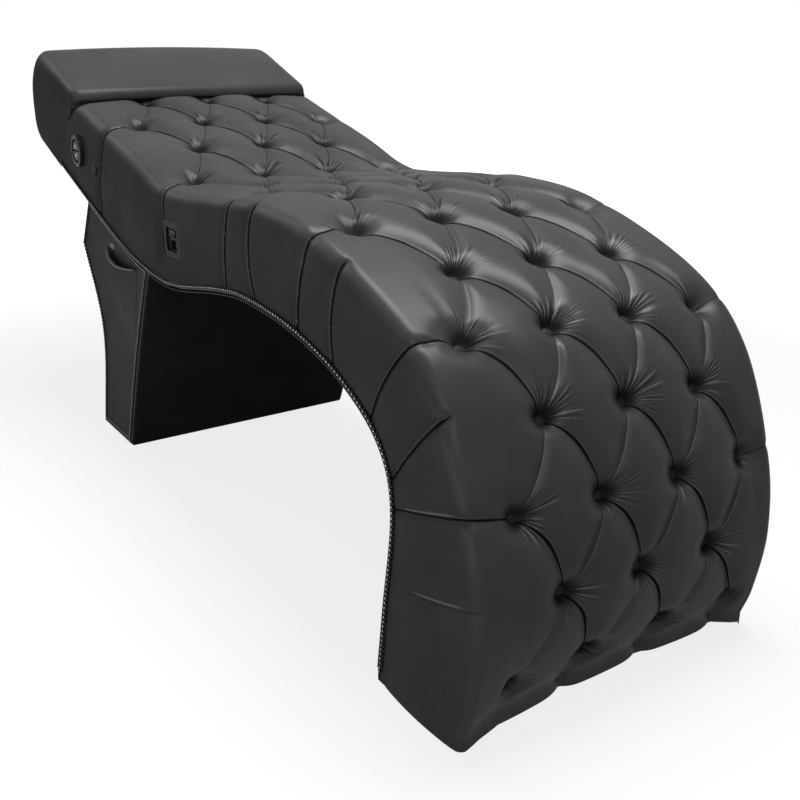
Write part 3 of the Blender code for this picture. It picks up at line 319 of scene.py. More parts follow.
FLAP_SHARE, FLAP_REACH, FLAP_END, FLAP_FADE = 0.45, 0.016, 0.02, 0.03
MARK_REACH, MARK_FADE, MARK_LEAST = 0.014, 0.010, 0.02
STREAK_START, STREAK_RISE, STREAK_END, STREAK_FADE = 0.09, 0.05, 0.19, 0.07
FAR_OFF = 9.0


def valley(gap, line, soft):
    """Depth of a pleat over the distance from it: a sharp line in a soft valley."""
    fade = 1 - ease((np.abs(gap) - PLEAT_REACH) / PLEAT_FADE)
    return (0.55 * np.exp(-np.abs(gap) / line) + 0.45 * np.exp(-(gap / soft) ** 2)) * fade


def pleat_row(out, first, edge, low):
    """Row of a pleat at a distance from the outer button: a bow past the edge to its low end."""
    edge_share, share = PLEAT_EDGE / PLEAT_LOW, np.clip(out / PLEAT_LOW, 0.0, 1.0)
    pull = edge - (1 - edge_share) ** 2 * first - edge_share ** 2 * low
    pull = pull / (2 * edge_share * (1 - edge_share))
    return (1 - share) ** 2 * first + 2 * share * (1 - share) * pull + share ** 2 * low


def side_depth(row, out, pull=1.0):
    """Sink of the edge and the side, and the marks of the nearest pleat: distance, weight and painted
    highlight streak.
    """
    total = np.zeros(np.broadcast(row, out).shape)
    nearest, drawn, light = np.full(total.shape, FAR_OFF), np.zeros(total.shape), np.zeros(total.shape)
    for start, edge, low, weight, end, highlight_streak in SIDE_PLEATS:
        gap = (row - pleat_row(out, edge if start is None else start, edge, low)) * ROW_PITCH
        share = pull * weight * (1 - ease((out - end + END_EARLY) / END_FADE))
        if start is None:
            share = share * ease((out - PLEAT_START) / PLEAT_RISE)
        strength = PLEAT_SINK * share
        if start is not None:
            strength = strength * (0.35 + 0.65 * ease(out / PLEAT_EDGE))
            strength = strength + BUTTON_PULL * pull * np.exp(-out / PULL_REACH)
            total = np.maximum(total, pit(np.hypot(gap, out)) * (out < PIT_LIMIT))
        under = FLAP_SHARE * np.where(gap > 0, np.exp(-np.maximum(gap, 0) / FLAP_REACH), 0.0)
        under = under * (1 - ease((gap - FLAP_END) / FLAP_FADE))
        total = np.maximum(total, strength * (valley(gap, PLEAT_LINE, PLEAT_SOFT) + under))
        closer = (np.abs(gap) < np.abs(nearest)) & (share > MARK_LEAST)
        beside = 1 - ease((np.abs(gap) - MARK_REACH) / MARK_FADE)
        nearest, drawn = np.where(closer, gap, nearest), np.where(closer, share * beside, drawn)
        # How bright the painted highlight streak beside the pleat is, between its start and its end on
        # the band.
        shown = highlight_streak * ease((out - STREAK_START) / STREAK_RISE)
        shown = shown * (1 - ease((out - STREAK_END) / STREAK_FADE))
        light = np.where(closer, shown * beside, light)
    return total, np.stack([nearest, drawn, light], -1)


print(len(SIDE_PLEATS), "pleats on each side")

# %% [markdown]
# ## Meshes from points
# Primitives and modifiers give regular shapes, and the cover is too particular for them. So its points
# are worked out as arrays, and Blender gets the finished points and faces. These helpers do that here
# and for later pieces: they make an object, list the faces between closed rings of points, turn every
# face outward, and note numbers on the points.

# %% Mesh helpers


def mesh_piece(name, points, faces):
    """A new object from points and faces."""
    mesh = bpy.data.meshes.new(name)
    mesh.from_pydata([tuple(point) for point in points], [], faces)
    mesh.update()
    piece = bpy.data.objects.new(name, mesh)
    bpy.context.scene.collection.objects.link(piece)
    return piece


def ring_faces(rings, count):
    """Faces between closed rings of points, with the first and the last ring filled."""
    index = np.arange(rings * count).reshape(rings, count)
    after = np.roll(index, -1, axis=1)
    faces = np.stack([index[:-1], after[:-1], after[1:], index[1:]], -1).reshape(-1, 4).tolist()
    return faces + [index[0].tolist(), index[-1][::-1].tolist()]


def edit_all(piece):
    """Go into edit mode on one piece, with all of it selected."""
    nothing_selected()
    piece.select_set(True)
    bpy.context.view_layer.objects.active = piece
    bpy.ops.object.mode_set(mode="EDIT")
    bpy.ops.mesh.select_all(action="SELECT")


def outward(piece):
    """Make every face of a closed piece look out."""
    edit_all(piece)
    bpy.ops.mesh.normals_make_consistent(inside=False)
    bpy.ops.object.mode_set(mode="OBJECT")


def note(piece, name, values):
    """Keep one number, or three, on every point of a piece, where its finish can read them."""
    values = np.array(values)
    kind, field = ("FLOAT", "value") if values.ndim == 1 else ("FLOAT_VECTOR", "vector")
    attribute = piece.data.attributes.new(name, kind, "POINT")
    attribute.data.foreach_set(field, values.reshape(-1))


def smooth_below(piece, degrees):
    """Shade a piece smoothly, apart from edges that are sharper than an angle."""
    piece.data.shade_smooth()
    piece.data.set_sharp_from_angle(angle=math.radians(degrees))


print("mesh helpers ready")

# %% [markdown]
# ## The top of the cover
# The top is the leather that a client lies on. A displace modifier could sink it from a picture, but
# worked out point by point the folds stay sharp. A sheet of points is laid over the sections, close
# enough together for a fold to read. Past the outer buttons the pleats take over, and below the last
# row the folds run straight down to the hem. At the head end the cover rolls down into the seam of the
# headrest.

# %% Top of the cover
STEP, HALF_WIDTH, FLAT_HALF = 0.0036, 0.306, 0.272
EDGE_RADIUS, SEAT_EDGE_RADIUS, FOOT_EDGE_RADIUS = 0.034, 0.026, 0.014
SEAT_START, SEAT_BLEND, FOOT_BLEND = 0.05, 0.40, 0.30
PAD_CROWN, HEM_DRAW = 0.013, 0.014
SEAM_ROLL, SEAM_REACH = 0.020, 0.020
EDGE_BLEND, FAR_PLEATS = 0.022, 0.4
HEM_BLEND, HEM_SINK, HEM_LINE, HEM_SOFT = 0.2, 0.008, 0.006, 0.020


def foot_share(run):
    """How far a run is into the foot end, from 0 to 1."""
    return np.clip(1.0 - (CROWN_LENGTH - run) / FOOT_BLEND, 0.0, 1.0)


def edge_radius(run):
    """Round of the long edges: softest at the head, tighter on the seat, tightest at the foot."""
    radius = EDGE_RADIUS + (SEAT_EDGE_RADIUS - EDGE_RADIUS) * ease((run - SEAT_START) / SEAT_BLEND)
    return radius + foot_share(run) * (FOOT_EDGE_RADIUS - radius)


def crown_lift(foot, across):
    """Height of the crown over the flat top, from -1 to 1 across. At the foot it is drawn in instead."""
    return (PAD_CROWN - foot * (PAD_CROWN + HEM_DRAW)) * (1 - across ** 2)


runs = np.linspace(0.0, CROWN_LENGTH, int(CROWN_LENGTH / STEP))
top, low, up = sections(runs)
foot, radius = foot_share(runs)[:, None], edge_radius(runs)[:, None]
rim = HALF_WIDTH - radius
depth = np.linalg.norm(top - low, axis=1)[:, None]
flat = np.linspace(-1.0, 1.0, 2 * int(FLAT_HALF / STEP) + 1)[None, :]
y_top = flat * rim
row = row_at(runs[:, None], y_top)
column = column_at(y_top, row)
past = np.abs(y_top - BUTTON_SHIFT) - 3 * column_width(row)
edge_share = ease((past + EDGE_BLEND) / (2 * EDGE_BLEND))
edge_sunk, pleat_top = side_depth(row, np.maximum(0.0, past), np.where(y_top > 0, FAR_PLEATS, 1.0))
pleat_top[:, :, 0] += FAR_OFF * (edge_share < 0.5)
below = row - TUFT_ROWS + 1
hem_share = ease(below / HEM_BLEND)
hem_gap = 2 * off_whole((column + np.maximum(below, 0.0) - 1) / 2) * COLUMN_PITCH / 2
hem_fold = HEM_SINK * valley(hem_gap, HEM_LINE, HEM_SOFT)
hem_fold = np.maximum(pit(np.hypot(hem_gap, below * ROW_PITCH)), hem_fold)
lattice = lattice_depth(row, column) * (1 - hem_share) + hem_fold * hem_share
sunk = lattice * (1 - edge_share) + edge_sunk * edge_share
roll = SEAM_ROLL * np.exp(-(runs[:, None] / SEAM_REACH) ** 2)
lift_top = crown_lift(foot, flat) - sunk - roll
print("top of the cover", lift_top.shape, "points")

# %% [markdown]
# ## The sides of the cover
# From the rim of the top the leather turns over a rounded edge and runs down the side band, and the
# pleats go with it. A bevel could round the edge, but here the edge and the band go on from the same
# sections, so that their points meet those of the top. The band swells a little, apart from a flat
# place round the inlet's plate. A ring is one list of points for every section: so far out along Y and
# so far down from the crown.

# %% Sides of the cover
INLET_X, INLET_Z, PLATE_LENGTH, PLATE_HEIGHT, PLATE_CORNER = -0.051, 0.578, 0.0856, 0.0756, 0.0140
PLATE_PLAIN, BAND_SWELL, BAND_START, BAND_PULL = 0.035, 0.006, 0.10, 0.9
LOW_FADE_START, LOW_FADE, ROLL_IN = 0.02, 0.12, 0.2
OUTER_Y = 1.5 * COLUMN_PITCH
DARK_HEM = (0.0006, 1.0, 0.0)
turn = np.radians(np.linspace(0.0, 90.0, 11))[None, 1:-1]
band = np.linspace(0.0, 1.0, 34)[None, :]
band_length = depth - radius
band_swell = BAND_SWELL * np.sin(np.pi * np.clip((band - BAND_START) / (1 - BAND_START), 0, 1)) ** 0.7


def ring(y, height, sideways, upward):
    """Points from a distance along Y and down from the crown, moved outward and up."""
    down = height - upward + 0 * y + 0 * top[:, :1]
    across = y + sideways + 0 * down
    return np.stack([top[:, :1] - down * up[:, :1], across, top[:, 1:] - down * up[:, 1:]], -1)


def side_wall(side):
    """Rounded edge and band of one side, with the marks of their pleats."""
    row_side = row_at(runs[:, None], side * rim)
    start = rim - side * BUTTON_SHIFT - OUTER_Y
    pull = 1.0 if side < 0 else FAR_PLEATS
    arc_sunk, pleat_arc = side_depth(row_side, start + radius * (np.pi / 2 - turn), pull)
    lower = start + radius * np.pi / 2 + (1 - band) * band_length
    band_sunk, pleat_band = side_depth(row_side, lower, pull)
    pleat_band[:, :2] = DARK_HEM
    band_sunk = band_sunk * ease((band - LOW_FADE_START) / LOW_FADE) * BAND_PULL
    wall = ring(side * HALF_WIDTH + 0 * band, depth - band * band_length, 0 * band, 0 * band)
    beside = np.maximum(np.abs(wall[:, :, 0] - INLET_X) - PLATE_LENGTH / 2,
                        np.abs(wall[:, :, 2] - INLET_Z) - PLATE_HEIGHT / 2)
    plain = ease(beside / PLATE_PLAIN) if side < 0 else 1.0
    wall[:, :, 1] += side * (band_swell * plain - band_sunk - ROLL_IN * roll * band ** 2)
    arc = ring(side * (rim + radius * np.cos(turn)), radius * (1 - np.sin(turn)),
               -side * (arc_sunk + ROLL_IN * roll) * np.cos(turn), -(arc_sunk + roll) * np.sin(turn))
    return np.concatenate([wall, arc], 1), np.concatenate([pleat_band, pleat_arc], 1)


right_side, pleat_right = side_wall(-1)
left_side, pleat_left = side_wall(1)
print("sides of the cover", right_side.shape[:2], "points each")

# %% [markdown]
# ## The whole cover
# Top, sides and four points along the plywood inside make one closed ring at every section, and a last
# ring reaches down almost to the floor. The sides could be separate sheets, but as one closed piece the
# cover holds its foam. The slanting numbers, the distance to the nearest pleat, its weight and the
# brightness of its highlight streak are noted on the mesh. From them the leather's own finish paints the
# shade of the sharp crease lines and the highlights beside them, and draws the fine wrinkles that are too
# small for the mesh. A last note says where the leather is polished by use.

# %% Tufted cover
PAD_THICKNESS, BAND_INNER, FLOOR_GAP = 0.064, 0.290, 0.003
HEM_RISE, KINK_RISE, KINK_REACH = 0.014, 0.008, 0.022
INNER_PATH = ((BAND_INNER, depth), (BAND_INNER, PAD_THICKNESS),
              (-BAND_INNER, PAD_THICKNESS), (-BAND_INNER, depth))
INNER_COUNT = len(INNER_PATH)
BAND_POLISH, PLEAT_NEAREST, PLEAT_MOST, COVER_SHARP = 0.1, -0.08, 1.5, 70


def all_round(right, centre, left):
    """One value for every point of a ring, nothing on the points inside."""
    within = np.zeros((len(runs), INNER_COUNT) + right.shape[2:])
    return np.concatenate([right, centre, left[:, ::-1], within], 1)


def with_hem(values):
    """The values of every ring, and those of the last one again for the ring on the floor."""
    return np.concatenate([values, values[-1:]], 0)


flat_top = ring(y_top, 0 * y_top, 0 * y_top, lift_top)
kink = np.exp(-np.abs(hem_gap) / KINK_REACH)
corner = np.clip(past / (rim - OUTER_Y), 0, 1)
flat_top[:, :, 2] += (HEM_RISE + KINK_RISE * kink) * (1 - corner ** 0.8) * ease(foot * 3 - 2)
inside = np.stack([ring(np.full((1, 1), y), height, 0.0, 0.0)[:, 0] for y, height in INNER_PATH], 1)
skin = with_hem(np.concatenate([right_side, flat_top, left_side[:, ::-1], inside], 1))
skin[-1, :-INNER_COUNT, 2] -= FOOT_Z - FLOOR_GAP
skin[-1, -INNER_COUNT:, 2] += FLOOR_GAP

blank = np.zeros(right_side.shape[:2])
beside = [row_at(runs[:, None], side * rim) / 2 + blank for side in (-1, 1)]
mask = all_round(blank, (1 - edge_share) * (1 - hem_share), blank)
slant_one = all_round(beside[0], (row + column) / 2, beside[1])
slant_two = all_round(beside[0], (row - column) / 2, beside[1])
pleats = np.clip(all_round(pleat_right, pleat_top, pleat_left), PLEAT_NEAREST, PLEAT_MOST)
worn = np.concatenate([BAND_POLISH * band + 0 * depth,
                       BAND_POLISH + (1 - BAND_POLISH) * ease(np.sin(turn)) + 0 * depth], 1)
polish = all_round(worn, np.ones(lift_top.shape), worn)

pad = mesh_piece("tufted_cover", skin.reshape(-1, 3), ring_faces(*skin.shape[:2]))
note(pad, "tuft", with_hem(np.stack([slant_one, slant_two, mask], -1)).reshape(-1, 3))
note(pad, "pleat", with_hem(pleats).reshape(-1, 3))
note(pad, "polish", with_hem(polish).reshape(-1))
outward(pad)
smooth_below(pad, COVER_SHARP)
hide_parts("tufted_pad")
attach(pad, "bed")
print("tufted cover", len(pad.data.polygons), "faces")

# %% [markdown]
# ## The covered buttons
# Each button is a low dome of the same leather, pulled tight on its cord. Half a sphere would be too
# high, so one dome is shaped from a circle by extruding it and shrinking its rim. Its copies are laid
# in the pits, square to the leather, and joined into one mesh.

# %% Buttons
BUTTON_FOOT, BUTTON_SIDES, BUTTON_DROP = 0.00828, 20, 0.0020
BUTTON_RINGS = ((1.09, 0.0012), (0.93, 0.0014), (0.75, 0.0010), (0.45, 0.0005))
LOOK_AHEAD = 0.01


def dome(sides, radius, rings):
    """A low dome, drawn up from a filled circle. Each ring has a share of the last width and a rise."""
    nothing_selected()
    bpy.ops.mesh.primitive_circle_add(vertices=sides, radius=radius, fill_type="NGON")
    piece = bpy.context.active_object
    edit_all(piece)
    for share, rise in rings:
        bpy.ops.mesh.extrude_region_move(TRANSFORM_OT_translate={"value": (0, 0, rise)})
        bpy.ops.transform.resize(value=(share, share, 1))
    bpy.ops.object.mode_set(mode="OBJECT")
    return piece


def place_copies(name, model, places):
    """One mesh with a copy of a model at every place, given as matrices."""
    base = np.array([vertex.co for vertex in model.data.vertices])
    faces = [list(face.vertices) for face in model.data.polygons]
    points, polygons = [], []
    for place in places:
        turn, shift = np.array(place.to_3x3()), np.array(place.translation)
        polygons += [[corner + len(points) * len(base) for corner in face] for face in faces]
        points.append(base @ turn.T + shift)
    piece = mesh_piece(name, np.concatenate(points), polygons)
    bpy.data.objects.remove(model, do_unlink=True)
    outward(piece)
    piece.data.shade_smooth()
    return piece


def button_places():
    """Where each button sits, and which way it looks."""
    places = []
    for row, column in BUTTONS:
        y = column * float(column_width(row)) + BUTTON_SHIFT
        run = float(row_run(row)) + BUTTON_SKEW * y / COLUMN_PITCH
        around, _, up = sections([run - LOOK_AHEAD, run, min(run + LOOK_AHEAD, CROWN_LENGTH)])
        ahead = around[2] - around[0]
        normal = Vector((-ahead[1], 0.0, ahead[0])).normalized()
        crown = crown_lift(foot_share(run), y / (HALF_WIDTH - edge_radius(run)))
        middle = around[1] + (crown - BUTTON_SINK - BUTTON_DROP) * up[1]
        turn = normal.to_track_quat("Z", "Y").to_matrix().to_4x4()
        places.append(Matrix.Translation((middle[0], y, middle[1])) @ turn)
    return places


buttons = place_copies("tuft_buttons", dome(BUTTON_SIDES, BUTTON_FOOT, BUTTON_RINGS), button_places())
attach(buttons, "bed")
print("buttons", len(buttons.data.polygons), "faces")

# %% [markdown]
# ## The outline of the headrest
# The headrest is a plain block of foam that stands a little higher and wider than the buttoned pad. A
# cube with a bevel comes close, but each corner has its own round in the photograph. So the side view
# is drawn as an outline with soft corners, and its front edge hangs over the pad as a small lip. The
# outline can be drawn in, which rounds the long edges towards both ends of the block.

# %% Headrest outline
HEAD_BACK_X, HEAD_LOW_Z, HEAD_TILT = -0.946, 0.742, math.radians(20.8)
HEAD_RAISE, HEAD_END_PAD, HEAD_LIP, NECK_DROP = 0.022, 0.060, 0.012, 0.022
LIP_LIFT, LIP_START, LIP_UNDERCUT = 0.001, 0.0006, 0.0026
HEAD_ROUNDS = {"low_front": 0.004, "low_back": 0.060, "high_back": 0.090, "high_front": 0.024,
               "lip": 0.007, "neck": 0.004}
GAP = 0.0003


def toward(start, end):
    """Unit direction between two side-view points."""
    return (end - start) / np.hypot(*(end - start))


def rounded(corners, steps):
    """An outline with round corners, from points with radii."""
    outline = []
    for place, (here, radius) in enumerate(corners):
        before = toward(here, corners[place - 1][0])
        after = toward(here, corners[(place + 1) % len(corners)][0])
        half = 0.5 * math.acos(float(np.clip(before @ after, -1, 1)))
        middle = here + toward(np.zeros(2), before + after) * radius / math.sin(half)
        first = here + before * radius / math.tan(half) - middle
        last = here + after * radius / math.tan(half) - middle
        turn = math.atan2(first[0] * last[1] - first[1] * last[0], float(first @ last))
        for angle in turn * np.arange(steps + 1) / steps:
            spin = np.array([[math.cos(angle), -math.sin(angle)], [math.sin(angle), math.cos(angle)]])
            outline.append(middle + spin @ first)
    return outline


(seam_top,), (seam_low,), (seam_up,) = sections([0.0])
head_end_x = HEAD_BACK_X + HEAD_END_PAD
head_end_top = np.array([head_end_x, seam_top[1] + (seam_top[0] - head_end_x) * math.tan(HEAD_TILT)])
head_share = (head_end_x - seam_low[0]) / (HEAD_BACK_X - seam_low[0])
head_end_low = np.array([head_end_x, seam_low[1] + head_share * (HEAD_LOW_Z - seam_low[1])])


def head_outline(inset, lip_share):
    """The headrest's side view, its top and back drawn in. The front lip fades out towards the ends."""
    low_front = seam_low + GAP * toward(seam_low, head_end_low)
    high_front = seam_top + HEAD_RAISE * seam_up + GAP * toward(seam_top, head_end_top)
    low_back = np.array([HEAD_BACK_X, HEAD_LOW_Z])
    high_z = high_front[1] + (high_front[0] - HEAD_BACK_X) * math.tan(HEAD_TILT)
    high_back = np.array([HEAD_BACK_X, high_z])
    ahead = toward(head_end_top, seam_top)
    high_front = high_front + HEAD_LIP * lip_share * ahead
    lip = seam_top + LIP_LIFT * seam_up + (LIP_START + (HEAD_LIP - LIP_UNDERCUT) * lip_share) * ahead
    neck = seam_top - NECK_DROP * seam_up - GAP * ahead
    drop = inset * toward(high_front, low_front)
    slant = toward(high_back, high_front) + toward(high_back, low_back)
    places = {"low_front": low_front, "low_back": low_back + inset * toward(low_back, low_front),
              "high_back": high_back + inset * slant, "high_front": high_front + drop,
              "lip": lip + drop, "neck": neck + drop}
    return [(places[corner], HEAD_ROUNDS[corner]) for corner in places]


print("headrest from x %.3f to x %.3f" % (HEAD_BACK_X, seam_top[0]))

# %% [markdown]
# ## Headrest
# The outlines are joined into a block. Its ends swell out behind the seam, so that they are almost
# flush with the side bands there and stand a little proud further back. The plywood inside needs a
# hollow. It could be part of the outline, but an exact boolean cuts it in one step and leaves the outer
# leather as it is.

# %% Headrest
HEAD_OVERHANG, HEAD_CROWN, HEAD_EDGE = 0.013, 0.006, 0.036
HEAD_FLUSH, HEAD_TAPER, HEAD_SHARP = 0.15, 0.16, 50
POLISH_START, POLISH_RISE = 0.45, 0.40
HOLLOW_AHEAD, HOLLOW_FRONT_DEPTH, HOLLOW_BACK_DEPTH = 0.25, 0.5, 0.25


def headrest():
    """A soft block with rounded ends, drawn as rings from one end to the other."""
    half = HALF_WIDTH + HEAD_OVERHANG
    turns = np.radians(np.linspace(0.0, 90.0, 9))
    side = [(half - HEAD_EDGE * (1 - math.cos(turn)), HEAD_EDGE * (1 - math.sin(turn))) for turn in turns]
    middle = [(share * side[-1][0], 0.0) for share in np.linspace(0.97, 0.0, 40)[:-1]]
    spread = [(-y, inset) for y, inset in side + middle] + [(0.0, 0.0)] + list(reversed(side + middle))
    rings = []
    for y, inset in spread:
        lip_share = 1 - float(ease(inset / (0.5 * HEAD_EDGE)))
        outline = np.array(rounded(head_outline(inset + HEAD_CROWN * (y / half) ** 2, lip_share), 12))
        rings.append(np.column_stack([outline[:, 0], np.full(len(outline), y), outline[:, 1]]))
    points = np.array(rings)
    behind = (points[:, :, [0, 2]] - seam_low) @ np.array([-seam_up[1], seam_up[0]])
    fullness = HEAD_FLUSH + (1 - HEAD_FLUSH) * ease(behind / HEAD_TAPER)
    proud = np.maximum(np.abs(points[:, :, 1]) - HALF_WIDTH, 0.0)
    points[:, :, 1] -= np.sign(points[:, :, 1]) * proud * (1 - fullness)
    block = mesh_piece("headrest_cover", points.reshape(-1, 3), ring_faces(*points.shape[:2]))
    outward(block)
    return block


def cut_away(piece, cutter):
    """Take a cutter's shape out of a piece and remove the cutter."""
    nothing_selected()
    bpy.context.view_layer.objects.active = piece
    boolean = piece.modifiers.new("cut", "BOOLEAN")
    boolean.object, boolean.operation, boolean.solver = cutter, "DIFFERENCE", "EXACT"
    bpy.ops.object.modifier_apply(modifier=boolean.name)
    bpy.data.objects.remove(cutter, do_unlink=True)


def prism(name, outline, y_low, y_high):
    """A flat panel cut to an outline in the side view."""
    count = len(outline)
    points = [(x, y, z) for y in (y_low, y_high) for x, z in outline]
    faces = [list(range(count)), list(range(2 * count - 1, count - 1, -1))]
    faces += [[i, i + count, (i + 1) % count + count, (i + 1) % count] for i in range(count)]
    panel = mesh_piece(name, points, faces)
    outward(panel)
    return panel


head = headrest()
back_high = head_end_top - np.array([GAP, PAD_THICKNESS])
back_deep = np.array([back_high[0], head_end_low[1] - HOLLOW_BACK_DEPTH])
front_high = seam_top - PAD_THICKNESS * seam_up
front_far = front_high + HOLLOW_AHEAD * toward(back_high, front_high)
front_deep = front_far - np.array([0, HOLLOW_FRONT_DEPTH])
hollow = [back_high, front_far, front_deep, back_deep]
cut_away(head, prism("headrest_hollow", hollow, -BAND_INNER, BAND_INNER))
smooth_below(head, HEAD_SHARP)
upward = np.array([vertex.normal.z for vertex in head.data.vertices])
note(head, "polish", ease((upward - POLISH_START) / POLISH_RISE))
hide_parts("headrest_pad")
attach(head, "bed")
print("headrest", len(head.data.polygons), "faces")

# %% [markdown]
# ## Openings for the fittings
# The control and the inlet sit in holes in the side band. The band could be made with its holes, but
# then its rows of points would have to bend round them. So two cutters, a disc and a rounded plate
# outline a hair larger than the fittings, are taken out of the cover with exact booleans.

# %% Openings in the cover
CONTROL_X, CONTROL_Z, CONTROL_HOLE = -0.584, 0.703, 0.0273
CUT_FROM, CUT_TO = -0.34, -0.26


def circle(x, z, radius, count=40):
    """Points of a circle in the side view."""
    turns = [2 * math.pi * place / count for place in range(count)]
    return [(x + radius * math.cos(turn), z + radius * math.sin(turn)) for turn in turns]


def round_plate(x, z, length, height, radius, steps=8):
    """Points of a rectangle with round corners in the side view."""
    corners = [(np.array([x + a * length / 2, z + b * height / 2]), radius)
               for a, b in ((-1, -1), (1, -1), (1, 1), (-1, 1))]
    return rounded(corners, steps)


plate_hole = round_plate(INLET_X, INLET_Z, PLATE_LENGTH, PLATE_HEIGHT, PLATE_CORNER)
cut_away(pad, prism("control_cutter", circle(CONTROL_X, CONTROL_Z, CONTROL_HOLE), CUT_FROM, CUT_TO))
cut_away(pad, prism("inlet_cutter", plate_hole, CUT_FROM, CUT_TO))
print("cover with openings", len(pad.data.polygons), "faces")

# %% [markdown]
# ## Pedestal
# The head end stands on a plywood box with a waisted back, covered in the same leather. The leather
# could be a second layer, but it lies so tight that a panel with rounded edges looks the same. The
# sides are panels cut to the side view, the front and the back are copies of the CAD panels with their
# edges eased, and a thin facing covers the front.

# %% Pedestal panels
PEDESTAL_HALF, PEDESTAL_SIDE, PEDESTAL_FLOOR = 0.298, 0.016, 0.0015
BACK_POINTS = [(-0.651, PEDESTAL_FLOOR), (-0.586, 0.270), (-0.676, 0.474)]
SHOULDER_X, FRONT_TOP_X, FRONT_FLOOR_X, FRONT_BOW = -0.593, -0.219, -0.453, 0.009
RISING_COUNT, BACK_COUNT, FRONT_COUNT = 200, 40, 24
FACING, FACING_GAP, FACING_INSET = 0.009, 0.0004, 0.001
SIDE_BEVEL, END_BEVEL, BEVEL_ANGLE, BEVEL_STEPS, BEVEL_SHARP = 0.003, 0.002, 35, 3, 40
MERGE_WITHIN, MERGE_ANGLE = 0.00001, 1


def lower_edge(x):
    """Height of the body's lower edge over the pedestal."""
    rising = LOWER_LINE[:RISING_COUNT]
    return np.interp(x, rising[:, 0], rising[:, 1]) - GAP


def pedestal_outline():
    """Side view of the pedestal: waisted back, shoulder under the body, bowed front."""
    back, _ = smooth_line(BACK_POINTS, BACK_COUNT)
    shoulder = np.linspace(SHOULDER_X, FRONT_TOP_X, BACK_COUNT)
    top = np.array([FRONT_TOP_X, lower_edge(FRONT_TOP_X)])
    chord = np.array([FRONT_FLOOR_X, PEDESTAL_FLOOR]) - top
    bow = np.array([chord[1], -chord[0]]) / np.hypot(*chord) * FRONT_BOW
    shares = np.linspace(0.0, 1.0, FRONT_COUNT)
    front = [top + share * chord + bow * 4 * share * (1 - share) for share in shares]
    return np.vstack([back, np.column_stack([shoulder, lower_edge(shoulder)]), front[1:]])


def ease_edges(piece, width):
    """Round the sharp edges of a piece with a bevel."""
    nothing_selected()
    bpy.context.view_layer.objects.active = piece
    bevel = piece.modifiers.new("eased", "BEVEL")
    bevel.width, bevel.segments = width, BEVEL_STEPS
    bevel.limit_method, bevel.angle_limit = "ANGLE", math.radians(BEVEL_ANGLE)
    bpy.ops.object.modifier_apply(modifier=bevel.name)
    smooth_below(piece, BEVEL_SHARP)


def merged_copy(node, name):
    """A copy of a CAD piece with its loose facets merged."""
    mesh = frame["nodes"][node].data.copy()
    mesh.materials.clear()
    piece = bpy.data.objects.new(name, mesh)
    bpy.context.scene.collection.objects.link(piece)
    edit_all(piece)
    bpy.ops.mesh.remove_doubles(threshold=MERGE_WITHIN)
    bpy.ops.mesh.dissolve_limited(angle_limit=math.radians(MERGE_ANGLE))
    bpy.ops.object.mode_set(mode="OBJECT")
    return piece


pedestal_pieces = []
for hand, side in (("right", -1), ("left", 1)):
    y_near, y_far = sorted((side * (PEDESTAL_HALF - PEDESTAL_SIDE), side * PEDESTAL_HALF))
    panel = prism(f"pedestal_cover_{hand}", pedestal_outline(), y_near, y_far)
    ease_edges(panel, SIDE_BEVEL)
    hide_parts(f"pedestal_side_{hand}")
    pedestal_pieces.append(panel)
for end in ("front", "back"):
    panel = merged_copy(f"pedestal_{end}", f"pedestal_cover_{end}")
    ease_edges(panel, END_BEVEL)
    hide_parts(f"pedestal_{end}")
    pedestal_pieces.append(panel)
front_line = pedestal_outline()[-FRONT_COUNT:]
front_look = toward(front_line[0], front_line[-1])
front_look = np.array([-front_look[1], front_look[0]])
front_face = front_line + FACING * front_look
front_face[:, 1] = np.maximum(front_face[:, 1], PEDESTAL_FLOOR)
facing_outline = np.vstack([front_line + FACING_GAP * front_look, front_face[::-1]])
facing_half = PEDESTAL_HALF - FACING_INSET
facing = prism("pedestal_facing", facing_outline, -facing_half, facing_half)
ease_edges(facing, SIDE_BEVEL)
pedestal_pieces.append(facing)
for panel in pedestal_pieces:
    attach(panel, "bed")
print("pedestal panels", [panel.name for panel in pedestal_pieces])

# %% [markdown]
# ## Nail heads
# A black tape holds the leather along the lower edge of the body and all round each pedestal side, and
# a row of small blackened nails holds the tape. The tape is the CAD trim. The nails could be instances
# on a curve, but as one mesh each row is one piece of trim. One head is drawn up from an eight-sided
# circle, with few faces because there are hundreds, and copied at an even pitch along the tape.

# %% Nail heads
NAIL_RADIUS, NAIL_SIDES, NAIL_PITCH, NAIL_HEIGHT = 0.0032, 8, 0.0088, 0.0024
NAIL_RINGS = [(share, rise * NAIL_HEIGHT) for share, rise in ((1.0, 0.2), (0.78, 0.45), (0.42, 0.35))]
BODY_NAIL_INSET, FOOT_NAIL_INSET, PEDESTAL_NAIL_INSET = 0.0098, 0.0085, 0.0085
NAIL_LINE_COUNT, INSET_BLEND = 300, 0.3


def drawn_in(outline, inset):
    """A closed outline moved inward, corner by corner."""
    before, after = outline - np.roll(outline, 1, 0), np.roll(outline, -1, 0) - outline
    before, after = (edge / np.hypot(*edge.T)[:, None] for edge in (before, after))
    normals = [np.column_stack([edge[:, 1], -edge[:, 0]]) for edge in (before, after)]
    both = normals[0] + normals[1]
    return outline + both * inset / (1 + np.sum(normals[0] * normals[1], 1))[:, None]


def nail_places(line, y, closed):
    """Even places along a line in the side view, each looking out to the side."""
    points = np.vstack([line, line[:1]]) if closed else line
    run = run_along(points)
    stops = np.linspace(0.0, run[-1], round(run[-1] / NAIL_PITCH), endpoint=not closed)
    look = Vector((0, math.copysign(1.0, y), 0)).to_track_quat("Z", "Y").to_matrix().to_4x4()
    spots = zip(np.interp(stops, run, points[:, 0]), np.interp(stops, run, points[:, 1]))
    return [Matrix.Translation((x, y, z)) @ look for x, z in spots]


